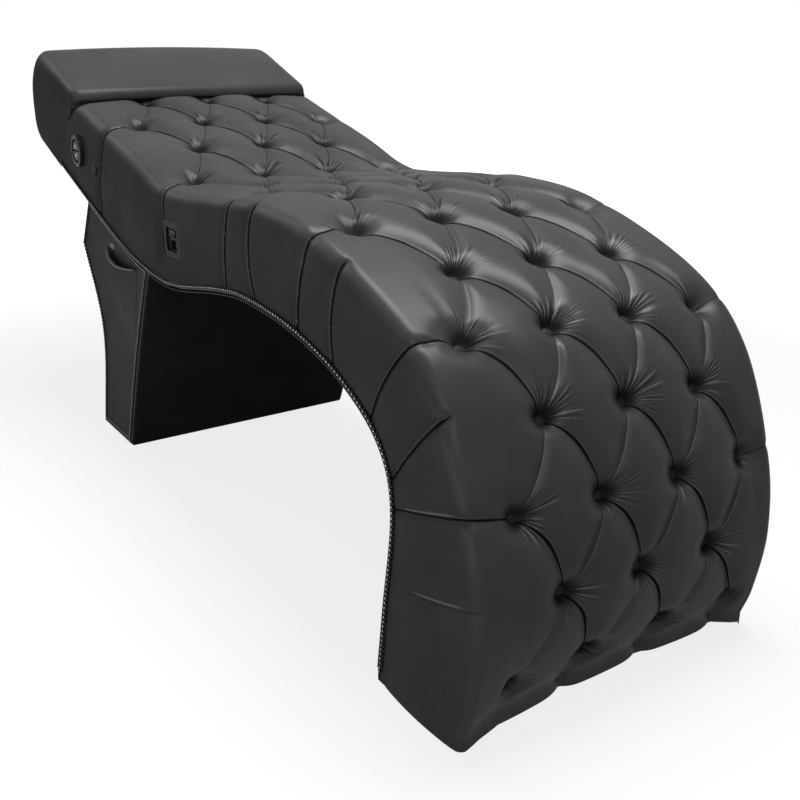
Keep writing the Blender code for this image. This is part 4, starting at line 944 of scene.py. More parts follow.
nail_runs = np.linspace(0.0, CROWN_LENGTH, NAIL_LINE_COUNT)
_, low, up = sections(nail_runs)
inset_blend = ease(nail_runs / CROWN_LENGTH / INSET_BLEND - 2)
inset = BODY_NAIL_INSET + (FOOT_NAIL_INSET - BODY_NAIL_INSET) * inset_blend
body_edge = low + inset[:, None] * up
pedestal_edge = drawn_in(pedestal_outline(), PEDESTAL_NAIL_INSET)
nail_rows = []
for hand, side in (("right", -1), ("left", 1)):
    for name, tape, line, closed in (
            (f"body_nails_{hand}", f"nail_trim_{hand}", body_edge, False),
            (f"pedestal_nails_{hand}", f"pedestal_trim_{hand}", pedestal_edge, True)):
        seat = max(abs(corner[1]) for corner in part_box(tape))
        nail = dome(NAIL_SIDES, NAIL_RADIUS, NAIL_RINGS)
        nails = place_copies(name, nail, nail_places(line, side * seat, closed))
        # The height on each head places the painted glint on its crown.
        note(nails, "glint_height", [(abs(vertex.co.y) - seat) / NAIL_HEIGHT for vertex in nails.data.vertices])
        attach(nails, "bed")
        nail_rows.append(nails)
print("nail rows", [(nails.name, len(nails.data.polygons)) for nails in nail_rows])

# %% [markdown]
# ## Piping
# The leather ends at the lower edge of the body in a thin round piping. It could be built from rings like
# the cover, but a circle swept along a line is what Blender's curves do best. The curve becomes a mesh
# once it has its shape. The piping gets a paler tone of the leather, which paints a thin highlight along
# the edge.

# %% Piping
PIPING_RADIUS, PIPING_Y, PIPING_DROP, PIPING_EVERY = 0.0010, 0.3050, 0.0022, 3


def round_tube(name, points, radius):
    """A thin round tube through the given points, fixed to the bed."""
    nothing_selected()
    curve = bpy.data.curves.new(name, "CURVE")
    curve.dimensions, curve.use_fill_caps = "3D", True
    curve.bevel_depth, curve.bevel_resolution = radius, 2
    spline = curve.splines.new("POLY")
    spline.points.add(len(points) - 1)
    for point, place in zip(spline.points, points):
        point.co = (*place, 1.0)
    tube = bpy.data.objects.new(name, curve)
    bpy.context.scene.collection.objects.link(tube)
    tube.select_set(True)
    bpy.context.view_layer.objects.active = tube
    bpy.ops.object.convert(target="MESH")
    tube = bpy.context.active_object
    tube.name = name
    tube.data.shade_smooth()
    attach(tube, "bed")
    return tube


piping_line = (low - PIPING_DROP * up)[low[:, 0] > FRONT_TOP_X][::PIPING_EVERY]
piping_pieces = []
for hand, side in (("right", -1), ("left", 1)):
    path = [(x, side * PIPING_Y, z) for x, z in piping_line]
    piping_pieces.append(round_tube(f"body_piping_{hand}", path, PIPING_RADIUS))
print("piping", [len(tube.data.polygons) for tube in piping_pieces])

# %% [markdown]
# ## Pocket
# A leather pouch with an elastic hem hangs on the pedestal. It could be a cloth simulation, but its few
# folds have their places in the photograph, so its panel is a sheet of points between the seams. It
# swells from the bottom, gathers into small ruffles below the mouth and rolls over at the top. A wavy
# tube along the hem shows the elastic, and a small tab sits above the mouth. The pouch has the lighter
# tone of the pedestal's sides, which paints the light on it. The elastic and the tab have a much paler
# tone, which paints the highlight along the hem.

# %% Pocket
POCKET_X, POCKET_WIDTH, POCKET_LEAN = -0.408, 0.180, 0.050
POCKET_BOTTOM, POCKET_HEIGHT, POCKET_DEPTH = 0.322, 0.160, 0.017
POCKET_SAG, POCKET_SLANT, POCKET_GAP, POCKET_FULLNESS = 0.012, 0.018, 0.0006, 1.10
POCKET_ROWS, POCKET_COLUMNS, POCKET_MARGIN = 50, 81, 2
RUFFLE_HEIGHT, RUFFLE_COUNT, CRUMPLE_HEIGHT = 0.0016, 12, 0.0016
GATHER_START, HEM_ROLL = 0.35, 0.0030
ELASTIC_RADIUS, ELASTIC_WAVE, ELASTIC_TURN = 0.0011, 0.0011, 1.9
ELASTIC_GAP, ELASTIC_LIFT = 0.0006, 0.0005
TAB_SIZE, TAB_EDGE = (0.026, 0.0014, 0.012), 0.0005
TAB_SHIFT, TAB_GAP, TAB_RISE = -0.040, 0.0009, 0.018


def grid_sheet(name, points):
    """A smooth open sheet from rows of points."""
    index = np.arange(points.shape[0] * points.shape[1]).reshape(points.shape[:2])
    faces = np.stack([index[:-1, :-1], index[:-1, 1:], index[1:, 1:], index[1:, :-1]], -1)
    sheet = mesh_piece(name, points.reshape(-1, 3), faces.reshape(-1, 4).tolist())
    sheet.data.shade_smooth()
    return sheet


def eased_block(size, edge):
    """A small cube drawn out to a size, with its edges bevelled."""
    nothing_selected()
    bpy.ops.mesh.primitive_cube_add(size=1.0)
    block = bpy.context.active_object
    edit_all(block)
    bpy.ops.transform.resize(value=size)
    bpy.ops.mesh.bevel(offset=edge, segments=2, affect="EDGES")
    bpy.ops.object.mode_set(mode="OBJECT")
    return block


def pocket_points():
    """Points of the pouch's outer panel with its rolled hem, row by row from the bottom."""
    across, rise = np.meshgrid(np.linspace(0, 1, POCKET_COLUMNS), np.linspace(0, 1, POCKET_ROWS))
    belly = np.sin(np.pi * across) ** 0.8
    gather = ease((rise - GATHER_START) / (1 - GATHER_START))
    waves = RUFFLE_COUNT * across + 0.3 * np.sin(9 * across)
    ruffle = RUFFLE_HEIGHT * np.sin(2 * np.pi * waves) * gather
    crumple = CRUMPLE_HEIGHT * np.sin(9 * across + 7 * rise) * np.sin(5 * rise - 11 * across + 1)
    x = POCKET_X + (across - 0.5) * POCKET_WIDTH + (rise - 0.5) * POCKET_LEAN
    z = POCKET_BOTTOM + POCKET_HEIGHT * rise - POCKET_SAG * belly * rise ** 2
    z = z - POCKET_SLANT * (across - 0.5)
    swell = POCKET_DEPTH * belly * np.sin(0.5 * np.pi * np.minimum(1.0, 1.3 * rise))
    y = -(PEDESTAL_HALF + POCKET_GAP) - swell - (ruffle + crumple) * belly ** 0.5 * ease(rise * 6)
    hem = POCKET_ROWS - 1
    for turn in np.radians(np.linspace(30, 300, 10)):
        x = np.vstack([x, x[hem]])
        y = np.vstack([y, y[hem] - HEM_ROLL * (1 - math.cos(turn))])
        z = np.vstack([z, z[hem] + HEM_ROLL * math.sin(turn)])
    return np.stack([x, y, z], -1)


pocket_grid = pocket_points()
pocket = grid_sheet("pocket_panel", pocket_grid)
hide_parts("pocket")
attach(pocket, "bed")

elastic_path = pocket_grid[POCKET_ROWS - 1, POCKET_MARGIN:-POCKET_MARGIN].copy()
elastic_path[:, 1] -= 2 * HEM_ROLL + ELASTIC_GAP
elastic_path[:, 2] += ELASTIC_LIFT + ELASTIC_WAVE * np.sin(ELASTIC_TURN * np.arange(len(elastic_path)))
elastic = round_tube("pocket_elastic", elastic_path, ELASTIC_RADIUS)
tab = eased_block(TAB_SIZE, TAB_EDGE)
tab.name = "pocket_tab"
tab.data.transform(Matrix.Translation((POCKET_X + TAB_SHIFT, -(PEDESTAL_HALF + TAB_GAP),
                                       POCKET_BOTTOM + POCKET_HEIGHT + TAB_RISE)))
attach(tab, "bed")

# %% [markdown]
# ## Underside lining
# Under the arch the frame is closed by black lining cloth, stretched from one side band to the other. A
# simulation would hardly move such a tight cloth, and a plain strip would look like a board. So it is
# one sheet along the lower edge with a ripple of about a millimetre.

# %% Lining
LINING_HALF, LINING_LIFT = 0.2890, 0.0060
LINING_ROWS, LINING_HEAD_ROWS, LINING_COLUMNS = 220, 30, 41
RIPPLE_HEIGHT, RIPPLE_TURN = 0.0012, 0.55


def lining_points():
    """Points of one sheet from the head end round the arch to the foot."""
    _, low, up = sections(np.linspace(0.0, CROWN_LENGTH, LINING_ROWS))
    head = np.linspace(head_end_low, low[0], LINING_HEAD_ROWS)[:-1]
    line = np.vstack([head + np.array([0.0, LINING_LIFT]), low + LINING_LIFT * up])
    across = np.linspace(-LINING_HALF, LINING_HALF, LINING_COLUMNS)
    wave = RIPPLE_HEIGHT * np.sin(np.arange(len(line)) * RIPPLE_TURN)[:, None]
    z = line[:, 1:] + wave * (1 - (across / LINING_HALF) ** 2)
    return np.stack([line[:, :1] + 0 * z, across + 0 * z, z], -1)


lining = grid_sheet("lining_sheet", lining_points())
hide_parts("underside_lining")
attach(lining, "bed")

# %% [markdown]
# ## A button on the side
# Beside the control a single covered button is pulled into the side band. It could be one more copy among
# the others, but it is a little larger and has the lighter leather of the pedestal's sides, whose paler
# tone paints its highlight, so it is a piece of its own from the same dome.

# %% Side button
SIDE_BUTTON_PLACE = (-0.477, -0.3118, 0.668)
SIDE_BUTTON_SCALE = (1.15, 1.15, 1.4, 1.0)

side_look = Vector((0, -1, 0)).to_track_quat("Z", "Y").to_matrix().to_4x4()
side_place = Matrix.Translation(SIDE_BUTTON_PLACE) @ side_look @ Matrix.Diagonal(SIDE_BUTTON_SCALE)
side_button = place_copies("side_button", dome(BUTTON_SIDES, BUTTON_FOOT, BUTTON_RINGS), [side_place])
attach(side_button, "bed")
print("side button", len(side_button.data.polygons), "faces")

# %% [markdown]
# ## Marks on the control
# Each half-moon button of the control carries two short pale bars that show where to press. They could
# be painted in a picture, but as pieces they stay sharp and move with their button. A bar is a small
# cube drawn out and bevelled.

# %% Control marks
BUTTON_FACE_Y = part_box("control_button_upper")[0][1]
BAR_SIZE, BAR_EDGE, BAR_TURN, BAR_PROUD = (0.0085, 0.0008, 0.0022), 0.0003, -0.5, 0.0002
BAR_PLACES = ((-0.004, 0.0120), (0.004, 0.0085))

control_marks = []
for name, side in (("upper", 1), ("lower", -1)):
    places = [Matrix.Translation((CONTROL_X + shift, BUTTON_FACE_Y - BAR_PROUD, CONTROL_Z + side * rise))
              @ Matrix.Rotation(BAR_TURN, 4, "Y") for shift, rise in BAR_PLACES]
    marks = place_copies(f"control_marks_{name}", eased_block(BAR_SIZE, BAR_EDGE), places)
    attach(marks, f"{name}_button")
    control_marks.append(marks)
print("control marks", [marks.name for marks in control_marks])

# %% [markdown]
# ## Return springs
# A small coil spring behind each half of the control pushes it back out. The CAD spring is stiff, so a
# pressed button would run into it. A copy of its coil could be bent with shape keys. Here each spring is
# only copied with its own mesh and fixed to the bed, and how far the button's travel would squash it is
# worked out but not applied.

# %% Return springs
joints = {joint["child"]: joint for joint in frame["record"]["behaviour"]["joints"]}
return_springs = []
for name in ("upper", "lower"):
    spring = merged_copy(f"button_spring_{name}", f"return_spring_{name}")
    spring.data.shade_smooth()
    (_, front, _), (_, back, _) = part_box(f"button_spring_{name}")
    press = joints[f"{name}_button"]
    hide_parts(f"button_spring_{name}")
    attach(spring, "bed")
    1 - press["range_m"][1] / (back - front)
    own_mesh(spring)
    return_springs.append(spring)
print("return springs", [spring.name for spring in return_springs])

# %% [markdown]
# ## Finishes as sums of sockets
# A material is a small graph of nodes. It could be wired in the shader editor, but written as links
# even a short sum is long. So a wire stands for a node's output and can be used in sums, and a finish
# has one method for each kind of node that it needs.

# %% Wires and finishes


class Wire:
    """A node's output that can be used in Python sums."""

    def __init__(self, finish, socket):
        self.finish, self.socket = finish, socket

    def maths(self, operation, *values):
        return self.finish.node("ShaderNodeMath", {"operation": operation}, dict(enumerate(values)))

    def of(self, operation):
        """A function of this value alone, such as its sine."""
        return self.maths(operation, self)

    def most(self, other):
        """The larger of two values."""
        return self.maths("MAXIMUM", self, other)

    def __abs__(self):
        return self.of("ABSOLUTE")

    def __add__(self, other):
        return self.maths("ADD", self, other)

    def __sub__(self, other):
        return self.maths("SUBTRACT", self, other)

    def __rsub__(self, other):
        return self.maths("SUBTRACT", other, self)

    def __mul__(self, other):
        return self.maths("MULTIPLY", self, other)

    def __truediv__(self, other):
        return self.maths("DIVIDE", self, other)

    def __pow__(self, other):
        return self.maths("POWER", self, other)

    __radd__, __rmul__ = __add__, __mul__


class Finish:
    """One material and its nodes."""

    def __init__(self, name, **constants):
        self.material = bpy.data.materials.new(name)
        self.material.use_nodes = True
        self.tree = self.material.node_tree
        self.shader = self.tree.nodes["Principled BSDF"]
        for socket, value in constants.items():
            label = socket.replace("_", " ").title().replace("Ior", "IOR")
            self.shader.inputs[label].default_value = value

    def node(self, kind, settings=None, sockets=None, output=0):
        """Add a node with its settings and inputs, and return the wire from one of its outputs."""
        node = self.tree.nodes.new(kind)
        for key, value in (settings or {}).items():
            setattr(node, key, value)
        for key, value in (sockets or {}).items():
            if isinstance(value, Wire):
                self.tree.links.new(value.socket, node.inputs[key])
            else:
                node.inputs[key].default_value = value
        return Wire(self, node.outputs[output])

    def feed(self, socket, wire):
        """Lead a wire into the shader."""
        self.tree.links.new(wire.socket, self.shader.inputs[socket])

    def place(self):
        """Object coordinates in metres."""
        return self.node("ShaderNodeTexCoord", output="Object")

    def noted(self, name, output="Fac"):
        """A number, or three as a vector, that is noted on the mesh."""
        return self.node("ShaderNodeAttribute", {"attribute_name": name}, output=output)

    def noise(self, vector, scale, detail=2.0):
        return self.node("ShaderNodeTexNoise", {}, {"Vector": vector, "Scale": scale, "Detail": detail})

    def cells(self, vector, scale):
        """Distance to the edges of a cell pattern."""
        return self.node("ShaderNodeTexVoronoi", {"feature": "DISTANCE_TO_EDGE"},
                         {"Vector": vector, "Scale": scale})

    def mix(self, factor, first, second):
        """A colour between two colours."""
        sockets = {0: factor, 6: first, 7: second}
        return self.node("ShaderNodeMix", {"data_type": "RGBA"}, sockets, output=2)

    def ramp(self, value, low, high):
        """Smooth 0 to 1 between two values."""
        return self.node("ShaderNodeMapRange", {"interpolation_type": "SMOOTHSTEP"},
                         {"Value": value, "From Min": low, "From Max": high})

    def between(self, value, low, first, last, high):
        """Smooth 0 to 1 between the first two values and back to 0 between the last two."""
        return self.ramp(value, low, first) * (1 - self.ramp(value, last, high))

    def bump(self, height):
        bumped = self.node("ShaderNodeBump", {}, {"Strength": 1.0, "Distance": 1.0, "Height": height})
        self.feed("Normal", bumped)


def dress(piece, finish):
    """Give a piece one finish all over."""
    piece.data.materials.clear()
    piece.data.materials.append(finish.material)


print("finish helpers ready")

# %% [markdown]
# ## Lines on the buttoned leather
# Real leather has sharp creases and hair-fine wrinkles round each button, too fine for the mesh. They
# could be painted in a picture that is wrapped over the cover, but the notes on its points already give
# every distance. The two slanting numbers give the distance to each fold and the direction from each
# button. The distance draws a thin crease in painted shade with a painted highlight on its lip. The
# direction draws each button's fan of small wrinkles, with painted shade in the grooves, painted
# highlights on the crests and painted shade in the pit. The distance to the nearest pleat draws a stripe
# of painted shade and a painted highlight on its edge. Near the head, fine ribs stand beside the pleats,
# with painted highlights on them.

# %% Marks of folds, wrinkles and pleats
RIB_PITCH = 0.0085


def split_note(finish, name):
    """The three numbers of a note, as wires."""
    split = finish.node("ShaderNodeSeparateXYZ", {}, {"Vector": finish.noted(name, "Vector")})
    return [Wire(finish, split.socket.node.outputs[axis]) for axis in "XYZ"]


def bowed_gap(off, other, bow):
    """Distance to a bowed fold, from the distances to the straight folds of both families."""
    return off + abs((other * math.pi).of("SINE")) ** BOW_POWER * bow


def fold_marks(finish, off, mask, bold):
    """Painted shade in the creases of both families of folds, and painted highlights on the lips and
    streaks beside them.
    """
    along, beyond = abs(off[0]), abs(off[1])
    fold_gap = bowed_gap(off[1], off[0], FOLD_BOW)
    # line is the painted shade of the crease, and lip also paints a highlight on the lip beside it.
    line = abs(fold_gap) / (0.008 + along * 0.030)
    line = (1 - finish.ramp(line, 0.55, 1.0)) * mask
    lip = fold_gap + 0.016 + along * 0.030
    lip = (1 - finish.ramp(abs(lip), 0.0, 0.016)) * finish.ramp(along, 0.05, 0.20) * mask
    cross_gap = bowed_gap(off[0], off[1], CROSS_BOW)
    cross = abs(cross_gap) / (0.006 + beyond * 0.014)
    cross = (1 - finish.ramp(cross, 0.4, 1.0)) * mask * finish.ramp(beyond, 0.04, 0.12) * 0.40
    # A painted highlight streak runs beside each cross fold.
    highlight_streak = cross_gap - 0.014 - beyond * 0.020
    highlight_streak = (1 - finish.ramp(abs(highlight_streak), 0.0, 0.014)) * finish.ramp(beyond, 0.06, 0.16) * mask
    return line.most(cross), lip.most(highlight_streak * (0.9 + 0.8 * bold))


def fan_marks(finish, off, whole, mask, later, bold):
    """Wrinkles round the buttons: their height, painted shade in the grooves, painted highlights on the
    crests, and painted shade and shadow in the pit.
    """
    down, side = (off[0] + off[1]) * ROW_PITCH, (off[0] - off[1]) * (COLUMN_PITCH / 2)
    reach = (down * down + side * side) ** 0.5
    angle = down.maths("ARCTAN2", side, down)
    seed = (whole[0] * SEED_TURNS[0] + whole[1] * SEED_TURNS[1]).of("SINE") * SEED_SPREAD
    seed = seed.of("FRACT")
    turn = angle * (FAN_COUNT / (2 * math.pi)) + seed
    for waves, width, shift in FAN_SWAY:
        turn = turn + (angle * waves + seed * shift).of("SINE") * width
    turn = turn * 2.0
    number = turn.of("ROUND")
    chance = (number * CHANCE_TURNS[0] + seed * CHANCE_TURNS[1]).of("SINE") * CHANCE_SPREAD
    chance = chance.of("FRACT")
    between = abs(turn - number) * 2.0
    groove = (1 - between) ** 2.0
    facing = angle - FAN_HEADWARD + later.most(0.0) * FAN_TURN
    facing = facing + later.maths("GREATER_THAN", later, JUMP_ROW) * FAN_JUMP
    facing = finish.ramp(facing.of("COSINE"), 0.0, 0.8) * 0.85 + 0.15
    strength = (chance * STRENGTH_SPREAD).of("FRACT") * 1.2 + 0.3
    near = finish.ramp(reach, 0.008, 0.018) * mask * facing * strength
    near = near * (1 - finish.ramp(reach / (0.032 + chance * 0.055), 0.25, 1.0))
    wrinkle = (0.35 - groove) * near * (0.4 + 0.6 * bold)
    # Painted shade in the grooves of the wrinkles.
    groove_shade = groove * (1 - between) * near * (3.0 - 2.2 * bold)
    # Painted highlights on the crests of the wrinkles.
    crest_highlight = finish.ramp(between, 0.62, 1.0) * near * finish.ramp(reach, 0.014, 0.030) * (0.9 + 1.7 * bold)
    # Painted shade in the pit, and a painted shadow on the side that the wrinkles face.
    hollow = (1 - finish.ramp(reach, 0.008, 0.034)) * mask
    shadow = (1 - finish.ramp(reach, 0.016, 0.050)) * mask * facing * (1 - bold) * 0.45
    return wrinkle, groove_shade, crest_highlight, hollow.most(shadow)


def pleat_marks(finish, row, mask, polish):
    """Stripes of painted shade and edges of painted highlight on the pleats, and the fine ribs beside
    them near the head.
    """
    gap, drawn, shine = split_note(finish, "pleat")
    # Painted shade along the pleat line, then painted highlights on the flap's edge and in the streak
    # beside it.
    stripe = finish.between(gap, -0.0014, -0.0002, 0.0012, 0.0046) * drawn
    edge = finish.between(gap, -0.0046, -0.0028, -0.0022, -0.0012) * drawn * 1.8 * (1 - polish * 0.75)
    edge = edge + finish.between(gap, -0.0105, -0.0060, -0.0050, -0.0020) * shine * 1.8
    rib = (row * (ROW_PITCH / RIB_PITCH * 2 * math.pi)).of("SINE")
    rib = rib * finish.between(abs(gap), 0.004, 0.012, 0.020, 0.048) * (1 - mask)
    rib = rib * finish.ramp(polish, 0.20, 0.60) * (1 - finish.ramp(row, 3.6, 4.4))
    return stripe, edge, rib


def tuft_marks(finish, polish):
    """Painted shade of the lines, painted highlights of the lips, wrinkles, painted shade of the grooves,
    painted highlights of the crests and painted shade of the pits, from the cover's notes.
    """
    one, two, mask = split_note(finish, "tuft")
    whole = [one.of("ROUND"), two.of("ROUND")]
    off = [one - whole[0], two - whole[1]]
    later = whole[0] + whole[1] - FAN_ROW
    bold = finish.ramp(later, -0.5, 2.0)
    line, lip = fold_marks(finish, off, mask, bold)
    wrinkle, groove_shade, crest_highlight, hollow = fan_marks(finish, off, whole, mask, later, bold)
    stripe, edge, rib = pleat_marks(finish, one + two, mask, polish)
    return line.most(stripe), lip.most(edge), wrinkle + rib * 0.35, groove_shade, crest_highlight + rib * 0.5, hollow


print("marks for the buttoned leather ready")

# %% [markdown]
# ## Leather
# Upholstery leather is black but never flat: a fine pebble grain, soft folds a hand wide, and pores that
# shine a little less than the ridges between them. A photographed texture could show this, but noise has
# no seams and needs no file. The grain is a cell pattern of about a millimetre and a half. On the
# buttoned cover, painted shade darkens the creases, the wrinkle grooves and the pits, and a pale colour
# paints highlights on the crests, lips and pleat edges. The pedestal's sides, the pocket and the side
# button have a lighter tone that paints the light on them. The pedestal's front and back have a darker
# tone that paints their shade. The piping, the elastic and the tab have paler tones that paint
# highlights.

# %% Leather finishes
LEATHER = (0.034, 0.034, 0.035, 1.0)
LEATHER_PALE = (0.045, 0.045, 0.046, 1.0)
LEATHER_DARK = (0.006, 0.006, 0.0065, 1.0)
# Pale colour of the painted highlights on crests, lips and pleat edges.
LEATHER_HIGHLIGHT = (0.150, 0.150, 0.150, 1.0)
GRAIN_SCALE, PEBBLE_SCALE, DRIFT_SCALE, SOFT_SCALE = 620.0, 240.0, 5.0, 14.0
GRAIN_HEIGHT, PEBBLE_HEIGHT, SOFT_HEIGHT = 0.00045, 0.00060, 0.0012
WRINKLE_HEIGHT, FOLD_CUT, LIP_HEIGHT = 0.0042, 0.0025, 0.0008


def toned(colour, tone):
    """A colour made lighter or darker."""
    return tuple(tone * part for part in colour[:3]) + (1.0,)


def leather(name, tufted=False, tone=1.0):
    """Black leather with its grain, and where it is tufted with the painted shade and highlights of the
    buttoned cover. A tone lightens or darkens it to paint light or shade on a piece.
    """
    finish = Finish(name, specular_ior_level=0.0, coat_roughness=0.37)
    place = finish.place()
    grain = finish.ramp(finish.cells(place, GRAIN_SCALE), 0.0, 0.14)
    pebble = finish.noise(place, PEBBLE_SCALE, 3.0)
    drift = finish.noise(place, DRIFT_SCALE, 3.0)
    soft = finish.noise(place, SOFT_SCALE)
    height = grain * GRAIN_HEIGHT + pebble * PEBBLE_HEIGHT + soft * SOFT_HEIGHT
    colour = finish.mix(finish.ramp(drift, 0.35, 0.75), toned(LEATHER, tone), toned(LEATHER_PALE, tone))
    shade = (1 - grain) * 0.25
    polish = finish.noted("polish")
    coat = (0.05 + drift * 0.06) * min(1.0, tone) + polish * 0.22
    if tufted:
        fold, lip, wrinkle, groove_shade, crest_highlight, hollow = tuft_marks(finish, polish)
        height = height + wrinkle * WRINKLE_HEIGHT - fold * FOLD_CUT + lip * LIP_HEIGHT
        # Painted shade in the creases, wrinkle grooves and pits, and a little painted light on wrinkle
        # ridges.
        shade = shade + fold * 0.85 + groove_shade - wrinkle * 0.6 + hollow * 0.55
        # Painted highlights on the crests, lips and pleat edges.
        colour = finish.mix(finish.ramp(crest_highlight * 0.8 + lip * 0.30, 0.05, 1.0), colour, LEATHER_HIGHLIGHT)
        coat = coat * (1 - fold) * (1 - hollow * 0.85)
    # The darker colour goes into the grain's pores and wherever shade is painted.
    finish.feed("Base Color", finish.mix(shade, colour, LEATHER_DARK))
    finish.feed("Roughness", 0.40 + drift * 0.10 - grain * 0.05)
    finish.feed("Coat Weight", coat)
    finish.bump(height)
    return finish


tufted_leather = leather("tufted_leather_black", tufted=True)
plain_leather = leather("plain_leather_black")
# Lighter copies paint light on the pedestal's sides, the pocket and the side button, a darker copy paints
# shade on the pedestal's ends, and paler copies paint highlights on the piping, the elastic and the tab.
lightened_leather = leather("leather_black_painted_light", tone=1.85)
shaded_leather = leather("shaded_leather_black", tone=0.42)
piping_highlight_leather = leather("piping_leather_painted_highlight", tone=3.0)
highlight_leather_pale = leather("elastic_leather_painted_highlight", tone=8.0)
pedestal_sides, pedestal_ends = pedestal_pieces[:2], pedestal_pieces[2:]
for finish, pieces in ((tufted_leather, [pad]), (plain_leather, [buttons, head]),
                       (lightened_leather, [pocket, side_button, *pedestal_sides]),
                       (shaded_leather, pedestal_ends), (piping_highlight_leather, piping_pieces),
                       (highlight_leather_pale, [elastic, tab])):
    for piece in pieces:
        dress(piece, finish)
    print(finish.material.name, "on", [piece.name for piece in pieces])

# %% [markdown]
# ## Plain finishes for the CAD pieces
# The hard pieces keep their CAD shape and only need a finish: moulded plastic with a fine spark texture,
# glossy plastic with faint smears, plywood with a drawn-out grain, bright metal, blackened metal whose
# nail crowns carry a painted glint, and a coarse lining cloth. One flat colour each would do from afar,
# but a little noise keeps them real close up. The foot board and the base of the pedestal are stained
# dark.

# %% Plain finishes
PLY_PALE, PLY_BROWN, PLY_STRETCH = (0.62, 0.46, 0.28), (0.45, 0.31, 0.18), (3.0, 60.0, 60.0)
NAIL_BLACK, NAIL_BRIGHT = (0.010, 0.010, 0.010, 1.0), (0.80, 0.79, 0.77, 1.0)
THREAD_DARK, THREAD_PALE, THREAD_SCALE = (0.008, 0.008, 0.009, 1.0), (0.020, 0.020, 0.021, 1.0), 420.0
METAL_SMEAR = 0.7


def plastic(name, colour, rough, spark, gloss=0.02):
    """Moulded plastic with a fine spark texture and faint smears."""
    finish = Finish(name, base_color=colour, specular_ior_level=gloss)
    place = finish.place()
    fleck = finish.noise(place, 900.0)
    smear = finish.noise(place, 40.0, 3.0)
    finish.feed("Roughness", rough + smear * 0.10)
    finish.bump(fleck * spark)
    return finish


def metal(name, colour, rough):
    """Bright metal with smears."""
    finish = Finish(name, metallic=1.0)
    smear = finish.noise(finish.place(), 90.0, 3.0)
    finish.feed("Base Color", finish.mix(smear, colour, toned(colour, METAL_SMEAR)))
    finish.feed("Roughness", rough + smear * 0.15)
    return finish


def blackened_nail(name):
    """Black metal, bright on the crown of each head as a painted glint."""
    finish = Finish(name, metallic=1.0)
    # A painted glint on the crown of each nail.
    glint = finish.ramp(finish.noted("glint_height") + finish.noise(finish.place(), 300.0) * 0.2, 0.98, 1.18)
    finish.feed("Base Color", finish.mix(glint, NAIL_BLACK, NAIL_BRIGHT))
    finish.feed("Roughness", 0.45 - glint * 0.15)
    return finish


def plywood(name, tone=1.0):
    """Wood with a grain that is drawn out along the bed."""
    finish = Finish(name)
    stretched = finish.node("ShaderNodeMapping", {}, {"Vector": finish.place(), "Scale": PLY_STRETCH})
    grain = finish.noise(stretched, 2.0, 4.0)
    finish.feed("Base Color", finish.mix(grain, toned(PLY_PALE, tone), toned(PLY_BROWN, tone)))
    finish.feed("Roughness", 0.55 + grain * 0.2)
    return finish


def cloth(name):
    """Coarse cloth from two crossing waves."""
    finish = Finish(name)
    place = finish.place()
    weave = [finish.node("ShaderNodeTexWave", {"bands_direction": axis},
                         {"Vector": place, "Scale": THREAD_SCALE}) for axis in "XY"]
    threads = weave[0] * weave[1]
    finish.feed("Base Color", finish.mix(threads, THREAD_DARK, THREAD_PALE))
    finish.feed("Roughness", 0.95 - threads * 0.1)
    finish.bump(threads * 0.0002)
    return finish


finishes = {
    "lining_cloth": cloth("lining_cloth_black"),
    "plywood": plywood("plywood_birch"),
    "nail_metal": blackened_nail("nail_blackened"),
    "black_plastic": plastic("plastic_black", (0.011, 0.011, 0.012, 1.0), 0.26, 0.00006),
    "gloss_plastic": plastic("plastic_gloss", (0.010, 0.010, 0.011, 1.0), 0.14, 0.0, gloss=0.03),
    "spring_steel": metal("steel_bright", (0.62, 0.62, 0.62, 1.0), 0.25),
    "brass_pin": metal("brass_bright", (0.72, 0.56, 0.30, 1.0), 0.25),
    "glide_nylon": plastic("nylon_dark", (0.05, 0.05, 0.052, 1.0), 0.50, 0.00004),
    "plain_leather": plain_leather,
    "tufted_leather": tufted_leather,
}
for entry in frame["record"]["subparts"]:
    dress(frame["nodes"][entry["node"]], finishes[entry["material_slot"]])
stained = plywood("plywood_stained_dark", tone=0.04)
for node in ("foot_board", "pedestal_base"):
    dress(frame["nodes"][node], stained)
for nails in nail_rows:
    dress(nails, finishes["nail_metal"])
for piece in (*control_marks, *return_springs):
    dress(piece, finishes["spring_steel"])
dress(lining, finishes["lining_cloth"])
print("finishes on", len(frame["nodes"]), "CAD pieces")

# %% [markdown]
# ## The white ground
# The photograph has a plain white ground. A curved backdrop would turn grey towards the corners, so the
# floor and the world are white to the camera and to reflections, while the leather is lit almost only
# by lamps. Near the bed the floor keeps some of its own grey, so that soft shadows show.

# %% Floor and world
FLOOR_SIZE, FLOOR_Z, FLOOR_GLOW = 14.0, -0.0005, 1.36
WHITE_NEAR, WHITE_FAR, NEAR_END, FAR_START = 0.60, 1.0, 1.4, 3.6
WORLD_FILL = 0.085


def white_ground(finish):
    """How much of what a ray meets is plain white. Only camera, glossy and transmission rays meet it."""
    rays = finish.node("ShaderNodeLightPath", output="Is Camera Ray")
    outputs = rays.socket.node.outputs
    seen = rays + Wire(finish, outputs["Is Glossy Ray"]) + Wire(finish, outputs["Is Transmission Ray"])
    place = finish.place()
    away = finish.node("ShaderNodeVectorMath", {"operation": "LENGTH"}, {0: place}, output="Value")
    white = WHITE_NEAR + finish.ramp(away, NEAR_END, FAR_START) * (WHITE_FAR - WHITE_NEAR)
    return seen.maths("MINIMUM", seen, 1.0) * white


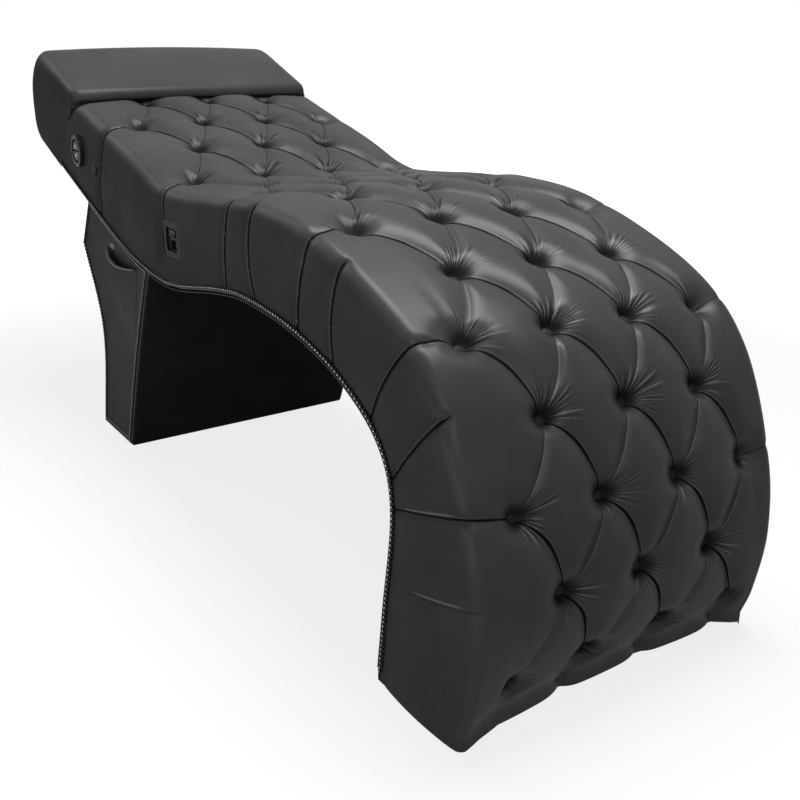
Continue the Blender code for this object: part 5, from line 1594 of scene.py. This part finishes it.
nothing_selected()
bpy.ops.mesh.primitive_plane_add(size=FLOOR_SIZE, location=(0, 0, FLOOR_Z))
floor = bpy.context.active_object
floor.name = "studio_floor"
floor_finish = Finish("studio_floor_white", base_color=(0.30, 0.30, 0.30, 1.0), roughness=1.0,
                      specular_ior_level=0.0)
glow = floor_finish.node("ShaderNodeEmission", {}, {"Color": (1, 1, 1, 1), "Strength": FLOOR_GLOW})
blend = floor_finish.node("ShaderNodeMixShader", {}, {0: white_ground(floor_finish), 2: glow})
floor_finish.tree.links.new(floor_finish.shader.outputs[0], blend.socket.node.inputs[1])
floor_finish.tree.links.new(blend.socket, floor_finish.tree.nodes["Material Output"].inputs["Surface"])
dress(floor, floor_finish)
floor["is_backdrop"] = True

world = bpy.data.worlds.new("studio_world")
bpy.context.scene.world = world
world.use_nodes = True
tree = world.node_tree
background = tree.nodes["Background"]
rays = tree.nodes.new("ShaderNodeLightPath")
level = tree.nodes.new("ShaderNodeMapRange")
level.inputs["To Min"].default_value = WORLD_FILL
level.inputs["To Max"].default_value = 1.0
seen = rays.outputs["Is Camera Ray"]
for ray in ("Is Glossy Ray", "Is Transmission Ray"):
    either = tree.nodes.new("ShaderNodeMath")
    either.operation = "MAXIMUM"
    tree.links.new(seen, either.inputs[0])
    tree.links.new(rays.outputs[ray], either.inputs[1])
    seen = either.outputs[0]
tree.links.new(seen, level.inputs["Value"])
background.inputs["Color"].default_value = (1.0, 1.0, 1.0, 1.0)
tree.links.new(level.outputs[0], background.inputs["Strength"])
print("white floor and world ready")

# %% [markdown]
# ## Light
# The photograph is lit softly from above. A picture of a sky could give such light, but lamps can be
# moved one by one until the highlights sit where they do in the photograph. One large lamp above gives
# the highlights on the seat, a second in front opens the foot end, a narrow strip behind the head draws
# the edges, and a low lamp fills the near side.

# %% Lamps


def softbox(name, place, target, size, energy):
    """A large flat lamp that looks at a point."""
    nothing_selected()
    look = (Vector(target) - Vector(place)).to_track_quat("-Z", "Y").to_euler()
    bpy.ops.object.light_add(type="AREA", location=place, rotation=look)
    lamp = bpy.context.active_object
    lamp.name = name
    lamp.data.shape = "RECTANGLE"
    lamp.data.size, lamp.data.size_y = size
    lamp.data.energy = energy
    return lamp


lamps = [softbox("key_softbox", (0.32, 0.25, 2.9), (0.40, 0.1, 0.5), (2.0, 1.1), 136.0),
         softbox("front_softbox", (3.2, -1.8, 2.4), (0.5, 0.0, 0.4), (1.6, 1.6), 26.0),
         softbox("back_strip", (-2.3, -1.0, 2.2), (0.5, -0.2, 0.6), (0.4, 1.6), 9.0),
         softbox("side_fill", (0.75, -1.5, 0.30), (0.65, -0.3, 0.05), (2.6, 0.5), 10.5)]
bpy.context.scene.view_settings.view_transform = "Standard"
print("lamps", [lamp.name for lamp in lamps])

# %% [markdown]
# ## Size
# Last, the box round everything that was made is measured and printed. The leather may stand a little
# outside the solids.

# %% Size and finish
low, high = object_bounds()
print("visual box", [round(v, 3) for v in low], [round(v, 3) for v in high])
